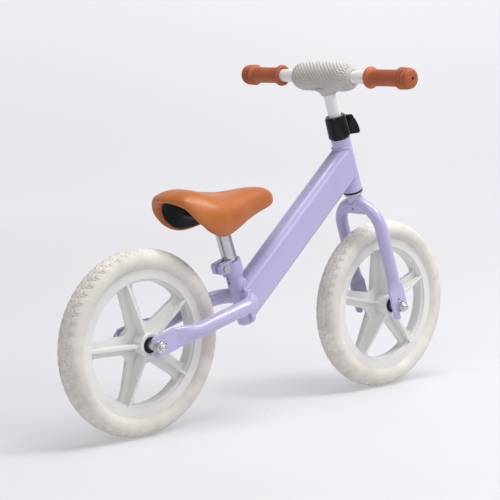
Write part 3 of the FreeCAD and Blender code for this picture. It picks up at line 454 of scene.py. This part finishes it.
# share of the painted glow that is left on the dim side of the room, which is also painted a darker grey as
# painted shade
DIM_SIDE_GLOW = 0.34
# level directions, fixed in the room: the part of the wall where the glow is painted brightest, and the right of
# it, towards which the painted glow grows
GLOWING_WALL, GLOWING_RIGHT = (0.666, 0.746, 0), (0.746, -0.666, 0)


def backdrop():
    """Round studio floor that curves up into a wall; it glows near the object and on one side of the room as
    painted light, and its dim side is painted a darker grey as painted shade.
    """
    profile = [(1 * MM, -FLOOR_DROP)] + [(r, -FLOOR_DROP) for r in np.linspace(0.4, FLOOR_RADIUS, 12)]
    for angle in np.linspace(0, math.pi / 2, 16)[1:]:
        height = FLOOR_CURVE - FLOOR_CURVE * math.cos(angle)
        profile.append((FLOOR_RADIUS + FLOOR_CURVE * math.sin(angle), height))
    profile.append((FLOOR_RADIUS + FLOOR_CURVE, WALL_TOP))
    thing = lathe("studio_floor", profile, (0, 0, 0), (0, 0, 1), segments=128, closed=False)
    with mesh_edit(thing.data) as bm:
        bmesh.ops.reverse_faces(bm, faces=bm.faces)
    graph = Graph("glowing_studio_paper", Specular_IOR_Level=0.1)
    parts = graph.add("ShaderNodeSeparateXYZ", Vector=graph.place).outputs
    flat = graph.add("ShaderNodeCombineXYZ", X=parts[0], Y=parts[1]).outputs[0]
    away = graph.vector("LENGTH", flat).outputs["Value"]
    direction = graph.vector("NORMALIZE", flat).outputs[0]
    behind = graph.vector("DOT_PRODUCT", direction, GLOWING_WALL).outputs["Value"]
    # painted light: the share of the room that glows brightly, near the object and on the side behind it; the rest
    # glows dimly
    painted_light_share = graph.math("MAXIMUM", graph.remap(away, 1.1, 2.8, 1, 0), graph.remap(behind, 0.55, 0.86, 0, 1))
    tone = graph.mix(graph.noise(1.5, 2), rgb(175, 175, 178), rgb(179, 179, 182))
    # painted shade: the dim side of the room is a darker grey
    graph.color(graph.mix(painted_light_share, rgb(172, 172, 176), tone))
    graph.roughness(graph.remap(graph.noise(3, 2), 0.3, 0.7, 0.8, 0.9))
    # painted glow: floor and wall emit light though they are no lamp, more away from the object, up the wall and
    # to the right
    graph.feed(graph.shader.inputs["Emission Color"], (0.97, 0.965, 1.0, 1))
    from_floor = graph.remap(away, 0.5, 3.2, FLOOR_GLOW, FAR_GLOW)
    glow = graph.math("ADD", graph.remap(parts[2], 0, 1.8, 0, WALL_GLOW), from_floor)
    to_right = graph.vector("DOT_PRODUCT", flat, GLOWING_RIGHT).outputs["Value"]
    glow = graph.math("MULTIPLY", glow, graph.remap(to_right, -1.2, 0.6, 0.97, 1.05))
    strength = graph.math("MULTIPLY", glow, graph.remap(painted_light_share, 0, 1, DIM_SIDE_GLOW, 1))
    graph.feed(graph.shader.inputs["Emission Strength"], strength)
    thing.data.materials.append(graph.material)


def softbox(name, place, aim, width, height, power, tint=(1, 1, 1)):
    light = bpy.data.lights.new(name, "AREA")
    light.shape = "RECTANGLE"
    light.size, light.size_y = width, height
    light.energy = power
    light.color = tint
    thing = linked(name, light)
    thing.location = place
    thing.rotation_euler = (Vector(aim) - Vector(place)).to_track_quat("-Z", "Y").to_euler()


backdrop()
softbox("key", (1.5, -1.3, 2.5), (0, 0, 0.25), 0.9, 0.9, 44, (1.0, 0.985, 0.965))
softbox("top", (0.2, -0.35, 2.9), (0, 0, 0.2), 1.7, 1.7, 55)
softbox("side", (0.2, -2.9, 1.8), (0, 0, 0.3), 1.6, 1.0, 12)
softbox("rear", (-2.6, -1.5, 2.0), (0, 0, 0.3), 1.2, 1.0, 14)
world = bpy.data.worlds.new("studio")
world.use_nodes = True
world.node_tree.nodes["Background"].inputs["Color"].default_value = (0.93, 0.95, 1.0, 1)
world.node_tree.nodes["Background"].inputs["Strength"].default_value = 0.12
bpy.context.scene.world = world
bpy.context.scene.view_settings.view_transform = "Standard"
bpy.context.scene.view_settings.look = "None"


# ---------------------------------------------------------------- wheels
TREAD_BLOCKS = 58
TREAD_DEPTH = 1.5 * MM
# the tyre's section is drawn for this half width; its foot is a band on the rim
SECTION_HALF, SECTION_DEPTH, FOOT_HALF = 22 * MM, 32 * MM, 13 * MM
# the section is sampled finely this far along, at this step, and cut within this depth of the crown
TREAD_REACH, TREAD_STEP, TREAD_ZONE = 20 * MM, 0.85 * MM, 10 * MM


def groove(phase, half_width):
    """1 in the middle of a groove once per unit of phase, 0 outside it."""
    distance = np.abs(phase - np.round(phase))
    return 1 - smooth_step(half_width * 0.55, half_width * 1.25, distance)


def tread(angle, offset):
    """Depth of the moulded tread below the tyre's outer surface."""
    turn = angle * TREAD_BLOCKS / (2 * math.pi)
    away = np.abs(offset) / MM
    stagger = np.where(offset > 0, 0.0, 0.5)
    slanted = groove(turn + stagger + away * 0.030, 0.11) * smooth_step(2.2, 3.4, away)
    shoulder = groove(turn + stagger + 0.5 + away * 0.012, 0.095) * smooth_step(9.5, 10.5, away)
    wave = 8.6 + 1.3 * np.sin(2 * math.pi * (turn + stagger))
    ring = 1 - smooth_step(0.7, 1.7, np.abs(away - wave))
    middle = 1 - smooth_step(0.8, 1.7, np.abs(offset / MM - 1.4 * np.sin(2 * math.pi * turn)))
    pattern = np.maximum.reduce([slanted, shoulder, ring, middle])
    return TREAD_DEPTH * pattern * (1 - smooth_step(15.5, 19.5, away))


def around_axle(centre, radius, angle, offset):
    """Points round an axle through the centre, offset to the left of it."""
    return np.stack([
        centre.x + radius * np.cos(angle), centre.y + offset, centre.z + radius * np.sin(angle),
    ], -1)


def build_tyre(prefix, body):
    low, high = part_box(prefix + "_tyre")
    centre = (low + high) / 2
    radius, half = (high.x - low.x) / 2, (high.y - low.y) / 2
    # half of the cross-section: distance below the crown and distance from the middle plane
    drop = np.array((0.0, 0.35, 1.5, 3.6, 7.0, 12.0, 18.5, 25.0, 29.6, 32.0)) * MM
    reach = np.array((0.0, 5.0, 10.0, 14.2, 18.0, 20.9, 21.9, 20.6, 17.2, 14.2)) * MM * half / SECTION_HALF
    along = np.concatenate([[0], np.cumsum(np.hypot(np.diff(drop), np.diff(reach)))])
    stops = np.concatenate([np.arange(0, TREAD_REACH, TREAD_STEP), np.linspace(TREAD_REACH, along[-1], 14)])
    radii = radius - spline(along, drop, stops)
    offsets = spline(along, reach, stops)
    radii = np.concatenate([radii[::-1], radii[1:]])
    offsets = np.concatenate([-offsets[::-1], offsets[1:]])
    seat = radius - SECTION_DEPTH
    radii = np.concatenate([radii, [seat, seat]])
    offsets = np.concatenate([offsets, [FOOT_HALF, -FOOT_HALF]])
    angle = np.linspace(0, 2 * math.pi, 992, endpoint=False)
    grid_angle, grid_radius = np.meshgrid(angle, radii, indexing="ij")
    grid_offset = np.meshgrid(angle, offsets, indexing="ij")[1]
    deep = tread(grid_angle, grid_offset) * (grid_radius > radius - TREAD_ZONE)
    grid_radius = grid_radius - deep
    tyre = grid_object(prefix + "_foam_tyre", around_axle(centre, grid_radius, grid_angle, grid_offset))
    add_piece(tyre, body, "tyre_foam", [prefix + "_tyre"])


for prefix in ("rear", "front"):
    build_tyre(prefix, prefix + "_wheel")
    rim = refined_copy(prefix + "_rim", prefix + "_rim_moulding", 1.1 * MM, segments=3)
    add_piece(rim, prefix + "_wheel", "rim_plastic", [prefix + "_rim"])


# ---------------------------------------------------------------- small metal and plastic parts
THREAD_PITCH, THREAD_DEPTH = 1.25 * MM, 0.55 * MM
THREADED_END = 22 * MM
TIP_LENGTH, TIP_SHARE = 1.0 * MM, 0.78


def thread_rod(node, body):
    """Axle with a rolled thread at both ends, a plain middle and tapered tips."""
    low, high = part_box(node)
    centre, half = (low + high) / 2, (high.y - low.y) / 2
    radius = (high.x - low.x) / 2
    plain = half - THREADED_END
    outer = np.arange(plain, half - TIP_LENGTH, THREAD_PITCH / 6)
    along = np.concatenate([-outer[::-1], outer])
    angle = np.linspace(0, 2 * math.pi, 36, endpoint=False)
    grid_along, grid_angle = np.meshgrid(along, angle, indexing="ij")
    phase = grid_along / THREAD_PITCH - grid_angle / (2 * math.pi)
    wave = np.abs(2 * (phase - np.floor(phase)) - 1)
    fade = smooth_step(plain, plain + 2 * MM, np.abs(grid_along))
    rows = around_axle(centre, radius - THREAD_DEPTH * wave * fade, grid_angle, grid_along)
    ends = [around_axle(centre, TIP_SHARE * radius, angle, 0 * angle + side * half)[None] for side in (-1, 1)]
    points = np.concatenate([ends[0], rows, ends[1]])
    rod = grid_object(node + "_thread", points, wrap_rows=False, cap_rows=True)
    add_piece(rod, body, "bolt_steel", [node])


for axle in ("rear_axle", "front_axle"):
    thread_rod(axle, BODY_OF[axle])

# CAD nodes that stay as they are apart from rounded edges, of this radius in millimetres
ROUNDED = {
    "rear_axle_nuts": 0.5, "front_axle_nuts": 0.5, "rear_axle_washers": 0.4, "front_axle_washers": 0.4,
    "rear_axle_spacers": 0.4, "front_axle_spacers": 0.4, "seat_clamp_collar": 0.9, "seat_clamp_bolt": 0.6,
    "seat_clamp_nut": 0.5, "stem_clamp_collar": 1.2, "clamp_lever": 1.0, "stem_clamp_bolt": 0.5,
    "stem_clamp_nut": 0.5, "crown_race": 0.5, "head_bushing_lower": 0.5, "pad_closure": 0.5,
    "head_tube": 0.5, "seat_tube": 0.5, "seat_post": 0.5, "fork_tube": 0.5, "rear_stay_left": 0.5,
    "rear_stay_right": 0.5, "main_tube": 0.3,
}
for node, width in ROUNDED.items():
    piece = refined_copy(node, node + "_rounded", width * MM)
    add_piece(piece, BODY_OF[node], SLOT_OF[node], [node])


# ---------------------------------------------------------------- weld beads
BEAD_STEP = 0.55 * MM


def bead(name, points, radius, body):
    """Rippled weld bead along a closed line of points."""
    points = resampled(points, BEAD_STEP)
    ahead = np.roll(points, -1, 0) - np.roll(points, 1, 0)
    ahead /= np.linalg.norm(ahead, axis=1)[:, None]
    centre = points.mean(0)
    outward = points - centre
    outward -= (outward * ahead).sum(1)[:, None] * ahead
    outward /= np.linalg.norm(outward, axis=1)[:, None]
    side = np.cross(ahead, outward)
    run = np.arange(len(points)) * BEAD_STEP / MM
    ripple = radius * (1 + 0.10 * np.cos(2 * math.pi * run / 2.4) + 0.05 * np.sin(run * 0.37))
    angle = np.linspace(0, 2 * math.pi, 12, endpoint=False)
    ring = (np.cos(angle)[None, :, None] * outward[:, None] + np.sin(angle)[None, :, None] * side[:, None])
    tube = grid_object(name, points[:, None] + ripple[:, None, None] * ring)
    add_piece(tube, body, "frame_paint")


MAIN_LEAN = math.radians(42.6)
MAIN_OFFSET = 178 * MM
MAIN_HEIGHT, MAIN_WIDTH, MAIN_CORNER = 62 * MM, 38 * MM, 14 * MM
HEAD_RADIUS, SEAT_RADIUS = 17 * MM, 14.3 * MM


def main_tube_outline():
    """Points of the main tube's rounded section: height and left."""
    high, wide = MAIN_HEIGHT / 2, MAIN_WIDTH / 2
    return filleted([(-high, -wide), (high, -wide), (high, wide), (-high, wide)], MAIN_CORNER, steps=10)


def bead_on_main_tube(name, axes, radius, toward, size):
    """Where the main tube ends on an upright tube: toward is -1 for the tube's rear, 1 for its front."""
    direction = np.array((math.cos(MAIN_LEAN), 0, math.sin(MAIN_LEAN)))
    normal = np.array((-math.sin(MAIN_LEAN), 0, math.cos(MAIN_LEAN)))
    points = []
    for height, left in main_tube_outline():
        beside = abs(left) > radius
        start = normal * (MAIN_OFFSET + height) + np.array((0, left * (0.9 if beside else 1), 0))
        target = toward * (1.0 * MM if beside else math.sqrt(radius ** 2 - left ** 2))
        here = axes.local(start)[0]
        points.append(start + direction * (target - here) / (direction @ axes.forward))
    bead(name, np.array(points), size, "frame")


bead_on_main_tube("weld_head", HEAD, HEAD_RADIUS, -1, 2.4 * MM)
bead_on_main_tube("weld_seat", SEAT, SEAT_RADIUS, 1, 3.1 * MM)


def crown_weld():
    """Round the foot of the steerer, on top of the fork's arch: its radii, and the height it starts at."""
    steerer, tube, arch, start = 12.7 * MM, 11.1 * MM, 47.3 * MM, 150 * MM
    angle = np.linspace(0, 2 * math.pi, 120, endpoint=False)
    forward, left = steerer * np.cos(angle), steerer * np.sin(angle)
    reach = arch + np.sqrt(np.maximum(0, tube ** 2 - forward ** 2))
    height = start + np.sqrt(reach ** 2 - left ** 2)
    bead("weld_crown", HEAD.at(forward, left, height), 2.0 * MM, "fork")


def stay_welds():
    """Round each stay's end, on the side of the seat tube and of the main tube."""
    lean, radius = math.radians(14.2), 12.7 * MM
    along, drop = 220.3 * MM, -5 * MM
    rear = np.array(JOINTS["rear_wheel_spin"]["pos_m"])
    centre = rear + along * np.array((math.cos(lean), 0, math.sin(lean)))
    centre += drop * np.array((-math.sin(lean), 0, math.cos(lean)))
    angle = np.linspace(0, 2 * math.pi, 90, endpoint=False)
    ring = centre + radius * np.stack([np.cos(angle), 0 * angle, np.sin(angle)], -1)
    across = np.sqrt(np.maximum(0, SEAT_RADIUS ** 2 - SEAT.local(ring)[0] ** 2))
    normal = np.array((-math.sin(MAIN_LEAN), 0, math.cos(MAIN_LEAN)))
    in_main = (np.abs(ring @ normal - MAIN_OFFSET) < MAIN_HEIGHT / 2 - 3 * MM) & (SEAT.local(ring)[0] > 0)
    across = np.where(in_main, MAIN_WIDTH / 2, across)
    for side, label in ((1, "left"), (-1, "right")):
        loop = ring.copy()
        loop[:, 1] = side * across
        bead("weld_stay_" + label, loop, 2.0 * MM, "frame")


crown_weld()
stay_welds()


# ---------------------------------------------------------------- grips and handlebar pad
bar_low, bar_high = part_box("handlebar_tube")
BAR = HEAD.at(0, 0, HEAD.local((bar_low + bar_high) / 2)[2])
GRIP_BORE = 11.15 * MM
GRIP_RINGS, RING_SPACING, RINGS_LENGTH = 3, 6.2 * MM, 27 * MM
RING_GROOVE = 2.6 * MM


def build_grip(side, node):
    """Moulded grip: inner flange, shaft, three stacked rings and a domed end with a small hole."""
    low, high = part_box(node)
    reach = max(abs(low.y), abs(high.y))
    inner = min(abs(low.y), abs(high.y))
    rings = []
    start = reach - RINGS_LENGTH
    for i in range(GRIP_RINGS):
        base = start + RING_SPACING * i
        top = (18.4 - 0.25 * i) * MM
        rings += [(top - RING_GROOVE, base), (top, base + 0.9 * MM), (top, base + 4.3 * MM),
                  (top - RING_GROOVE, base + 5.2 * MM)]
    profile = [
        (GRIP_BORE, inner), (15.5 * MM, inner), (18.4 * MM, inner + 2.6 * MM), (18.4 * MM, inner + 6.4 * MM),
        (15.4 * MM, inner + 9.5 * MM), (14.1 * MM, inner + 13 * MM), (13.9 * MM, (inner + start) / 2),
        (14.1 * MM, start - 5 * MM), (15.2 * MM, start - 1 * MM),
    ] + rings + [
        (16.8 * MM, reach - 5.2 * MM), (14.0 * MM, reach - 2.0 * MM), (8.0 * MM, reach - 0.4 * MM),
        (3.1 * MM, reach - 0.1 * MM), (2.6 * MM, reach - 1.2 * MM), (2.6 * MM, reach - 7.5 * MM),
        (GRIP_BORE, reach - 7.5 * MM),
    ]
    outline = filleted(profile, 0.9 * MM, steps=4)
    grip = lathe("grip_skin_" + side, outline, BAR, (0, 1 if low.y > 0 else -1, 0), segments=120)
    add_piece(grip, "handlebar", "grip_rubber", [node])


build_grip("left", "grip_left")
build_grip("right", "grip_right")

PAD_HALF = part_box("bar_pad")[1].y
PAD_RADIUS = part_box("bar_pad")[1].z - BAR[2]
RIDGE_PITCH = 5.6 * MM
RIDGE_HEIGHT = 1.15 * MM
FOLDS, FOLD_DEPTH = 26, 1.3 * MM
SEAM_HALF, SEAM_DEPTH = 1.2 * MM, 0.9 * MM
PAD_BORE = 11.4 * MM


def build_pad():
    """Foam sleeve in a rope-textured cover: the ridges are real relief, and the bore joins both ends."""
    rows, columns = 300, 300
    # half of the outer line, as shares of half the length and of the radius: the middle, then one end
    place_share = np.array((0, 0.5, 0.74, 0.86, 0.94, 0.985, 1))
    radius_share = np.array((1, 0.995, 0.965, 0.88, 0.74, 0.585, 0.50))
    y_knots = np.concatenate([-place_share[:0:-1], place_share]) * PAD_HALF
    r_knots = np.concatenate([radius_share[:0:-1], radius_share])
    along = np.concatenate([[0], np.cumsum(np.hypot(np.diff(y_knots), np.diff(r_knots * PAD_RADIUS)))])
    stops = np.linspace(0, 1, rows) * along[-1]
    y = spline(along, y_knots, stops)
    r = spline(along, r_knots * PAD_RADIUS, stops)
    angle = np.linspace(0, 2 * math.pi, columns, endpoint=False)
    grid_y, grid_angle = np.meshgrid(y, angle, indexing="ij")
    grid_r = np.meshgrid(r, angle, indexing="ij")[0]
    turns = round(2 * math.pi * PAD_RADIUS / (RIDGE_PITCH * 1.35))
    around = grid_angle * turns / (2 * math.pi)
    along_bar = grid_y / (RIDGE_PITCH * 1.45)
    lines = np.abs(np.sin(math.pi * (along_bar - around)))
    crossed = np.abs(np.sin(math.pi * (along_bar + around)))
    under = smooth_step(-0.1, 0.8, -np.cos(grid_angle - 0.3))
    relief = (1 - under) * lines ** 0.7 + under * 0.5 * (lines * crossed + lines)
    ends = 1 - smooth_step(0.93, 0.995, np.abs(grid_y) / PAD_HALF)
    grid_r = grid_r - RIDGE_HEIGHT * (1 - relief) * ends
    # gathered folds where the cover is drawn in at both ends
    gathered = smooth_step(0.66, 0.82, np.abs(grid_y) / PAD_HALF) * ends
    grid_r = grid_r - FOLD_DEPTH * gathered * (1 - np.abs(np.sin(FOLDS / 2 * grid_angle)) ** 0.6)
    # the seam runs underneath, and shows only near the ends
    seam = np.exp(-(((grid_angle - math.pi) * PAD_RADIUS) / SEAM_HALF) ** 2)
    seam = seam * smooth_step(44 * MM, 52 * MM, np.abs(grid_y))
    grid_r = grid_r - SEAM_DEPTH * seam * ends
    outward = np.cos(grid_angle)[..., None] * HEAD.up + np.sin(grid_angle)[..., None] * HEAD.forward
    points = BAR + grid_y[..., None] * np.array((0, 1.0, 0)) + grid_r[..., None] * outward
    ring = np.cos(angle)[:, None] * HEAD.up + np.sin(angle)[:, None] * HEAD.forward
    inner = []
    for share in (0.985, 0.5, -0.5, -0.985):
        inner.append((BAR + np.array((0, PAD_HALF * share, 0)) + PAD_BORE * ring)[None])
    pad = grid_object("bar_pad_cover", np.concatenate([points] + inner))
    add_piece(pad, "handlebar", "pad_fabric", ["bar_pad"])


SKIRT_DROP = 31 * MM


def build_pad_skirt():
    """Sleeve of the cover down the stem: a rolled hem that flares along the bar into the pad."""
    bottom = HEAD.local(BAR)[2] - SKIRT_DROP
    hem = filleted([
        (11.5, 1.5), (14.2, 0.0), (15.0, 2.6), (15.2, 4.5),
        (17.0, 7.5), (20.0, 11.5), (22.0, 16.0), (11.5, 16.0),
    ], 1.2)
    angle = np.linspace(0, 2 * math.pi, 96, endpoint=False)
    rings = []
    for radius, height in hem:
        spread = 1 + 0.7 * smooth_step(3.0, 14.0, height) * smooth_step(13.0, 17.0, radius)
        side = np.sin(angle)[:, None] * radius * spread * np.array((0, 1.0, 0))
        ahead_of = np.cos(angle)[:, None] * radius * HEAD.forward
        rings.append(HEAD.at(0, 0, bottom) + MM * (side + ahead_of + height * HEAD.up))
    skirt = grid_object("bar_pad_skirt", np.array(rings))
    add_piece(skirt, "handlebar", "pad_fabric")


build_pad()
build_pad_skirt()


# ---------------------------------------------------------------- saddle
# lines of the saddle over the same stations: half width, lower edge and top of the middle
SADDLE_X = np.array((-222, -214, -203, -190, -178, -160, -145, -128, -110, -92, -75, -55, -35, -15,
                     0, 6)) * MM
SADDLE_HALF = np.array((0, 41, 54, 59.5, 62, 63, 61.5, 57, 52, 45.5, 38, 31.5, 27, 21.5, 13, 0)) * MM
SADDLE_LOW = np.array((366, 358, 343, 331, 322.5, 314.5, 311.5, 313.5, 319, 325, 330, 336, 342, 346.5,
                       350, 353)) * MM
SADDLE_TOP = np.array((375, 380, 384, 386, 385.5, 381, 378.5, 376.5, 375.5, 376, 377.5, 379.5, 380, 378,
                       373, 368)) * MM


OUTLINE_POINTS = 260
TAIL_END, TAIL_START = -222 * MM, -180 * MM


def saddle_outline():
    """Plan outline of the saddle, widest edge, as x and y."""
    t = np.linspace(0, math.pi, OUTLINE_POINTS // 2 + 1)
    x = SADDLE_X[0] + (SADDLE_X[-1] - SADDLE_X[0]) * (1 - np.cos(t)) / 2
    # square of the half width is smooth at both round ends
    half = np.sqrt(np.maximum(0, spline(SADDLE_X, SADDLE_HALF ** 2, x)))
    near = np.stack([x, -half], -1)
    far = np.stack([x[1:-1][::-1], half[1:-1][::-1]], -1)
    loop = np.vstack([near, far])
    closed = np.vstack([loop, loop[:1]])
    length = np.concatenate([[0], np.cumsum(np.linalg.norm(np.diff(closed, axis=0), axis=1))])
    stops = np.linspace(0, length[-1], OUTLINE_POINTS, endpoint=False)
    return np.stack([np.interp(stops, length, closed[:, k]) for k in range(2)], -1)


def saddle_spine(x):
    """Point of the middle line that a meridian of the saddle starts from."""
    return np.clip(x, SADDLE_X[0] + 62 * MM, SADDLE_X[-1] - 24 * MM)


def edge_low(outline):
    return spline(SADDLE_X, SADDLE_LOW, outline[:, 0])


def crown(plan):
    return spline(SADDLE_X, SADDLE_TOP, plan[:, 0])


def saddle_rays():
    """Outline points, where each one's meridian ends on the middle line, and how long it is."""
    outline = saddle_outline()
    spine = np.stack([saddle_spine(outline[:, 0]), 0 * outline[:, 0]], -1)
    return outline, spine, np.linalg.norm(spine - outline, axis=1)


def saddle_ring(rays, share, height):
    outline, spine, _ = rays
    plan = outline + (spine - outline) * share[:, None]
    return np.stack([plan[:, 0], plan[:, 1], height(plan)], -1)


def rear_share(outline):
    """1 at the saddle's tail, 0 from its widest part forward."""
    return 1 - smooth_step(-205 * MM, -150 * MM, outline[:, 0])


def tail_share(outline):
    """1 at the very end of the tail, 0 a little in front of it."""
    return 1 - smooth_step(TAIL_END, TAIL_START, outline[:, 0])


SIDE_SHARE = 0.40
TAIL_SIDE = 9.5 * MM
CUSHION_THICKNESS, PAN_GAP = 9 * MM, 14 * MM


def relax(bm, verts, rounds, factor):
    for _ in range(rounds):
        bmesh.ops.smooth_vert(bm, verts=verts, factor=factor, use_axis_x=True, use_axis_y=True,
                              use_axis_z=True)


def build_saddle():
    """Smooth moulded cushion: rolled lower edge, full sides and a gently crowned top."""
    rays = saddle_rays()
    outline, _, reach = rays
    low = edge_low(outline)
    tall = crown(outline) - low
    # the edge is rolled under further at the back
    roll = (6.5 + 5.0 * tail_share(outline)) * MM
    behind = rear_share(outline)
    # height of the widest line over the edge, as a share; at the back it is TAIL_SIDE where that fits
    side = SIDE_SHARE * (1 - behind) + behind * np.clip(TAIL_SIDE / tall, 0.22, 0.5)
    rings = []

    def by_distance(distance, level):
        rings.append(saddle_ring(rays, np.minimum(distance / reach, 0.9), lambda plan: level))

    # the cushion's underside, from the middle line outwards
    for share, mixed in ((0.97, 1.0), (0.6, 1.0), (0.35, 0.9)):
        rings.append(saddle_ring(rays, share + 0 * reach, lambda plan: low * (1 - mixed)
                                 + (crown(plan) - CUSHION_THICKNESS) * mixed))
    # from inside the rim, round its bottom and up the outer side to the widest line
    for distance, level in ((1.72, 0.30), (1.68, 0.16), (1.58, 0.07), (1.36, 0.02)):
        by_distance(distance * roll, low + level * (1 + 0.6 * behind) * np.minimum(tall, 40 * MM))
    for turn in np.linspace(0, math.pi / 2, 12)[:-1]:
        by_distance(roll * (1 - math.sin(turn) ** 0.7), low + side * tall * (1 - math.cos(turn) ** 0.7))
    power, bulge = 2.7, 2.1
    for share in np.concatenate([np.linspace(0.0, 0.12, 9), np.linspace(0.15, 0.97, 24)]):
        rise = (1 - (1 - share) ** power) ** (1 / bulge)
        rings.append(saddle_ring(rays, share + 0 * reach, lambda plan: low + (crown(plan) - low)
                                 * (side + (1 - side) * rise)))
    cushion = grid_object("saddle_cover", np.array(rings), wrap_rows=False)
    with mesh_edit(cushion.data) as bm:
        bmesh.ops.holes_fill(bm, edges=[e for e in bm.edges if e.is_boundary], sides=0)
        relax(bm, bm.verts, 3, 0.4)
        relax(bm, [v for v in bm.verts if v.co.x < TAIL_START - 2 * MM], 9, 0.5)
        bmesh.ops.recalc_face_normals(bm, faces=bm.faces)
    shade_smooth(cushion.data)
    add_piece(cushion, "saddle", "saddle_leather", ["saddle_cushion"])


# the pan's inner ring is all above this height; its outer edge dips below, so it isn't a loop to fill
VAULT_HEIGHT = 0.34


def build_saddle_pan():
    """Black moulded pan inside the rolled edge, vaulted over the seat post's bracket."""
    rays = saddle_rays()
    outline, _, reach = rays
    rings = []
    extra = 8.0 * MM * tail_share(outline)
    for distance, rise in ((10.8, 7.0), (11.0, 3.4), (12.5, 3.8), (16.0, 7.5), (21.0, 14.0), (27.0, 20.0),
                           (34.0, 24.5), (44.0, 27.0)):
        wanted = edge_low(outline) + (rise + 6.0 * rear_share(outline)) * MM
        rings.append(saddle_ring(rays, np.minimum((distance * MM + extra) / reach, 0.93),
                                 lambda plan: np.minimum(wanted, crown(plan) - PAN_GAP)))
    pan = grid_object("saddle_pan", np.array(rings), wrap_rows=False)
    with mesh_edit(pan.data) as bm:
        inner = [e for e in bm.edges if e.is_boundary and e.verts[0].co.z > VAULT_HEIGHT]
        bmesh.ops.holes_fill(bm, edges=inner, sides=0)
        bmesh.ops.recalc_face_normals(bm, faces=bm.faces)
    shade_smooth(pan.data)
    solid = pan.modifiers.new("wall", "SOLIDIFY")
    solid.thickness = 2.2 * MM
    solid.offset = -1
    add_piece(pan, "saddle", "saddle_shell", ["saddle_base"])


build_saddle()
build_saddle_pan()
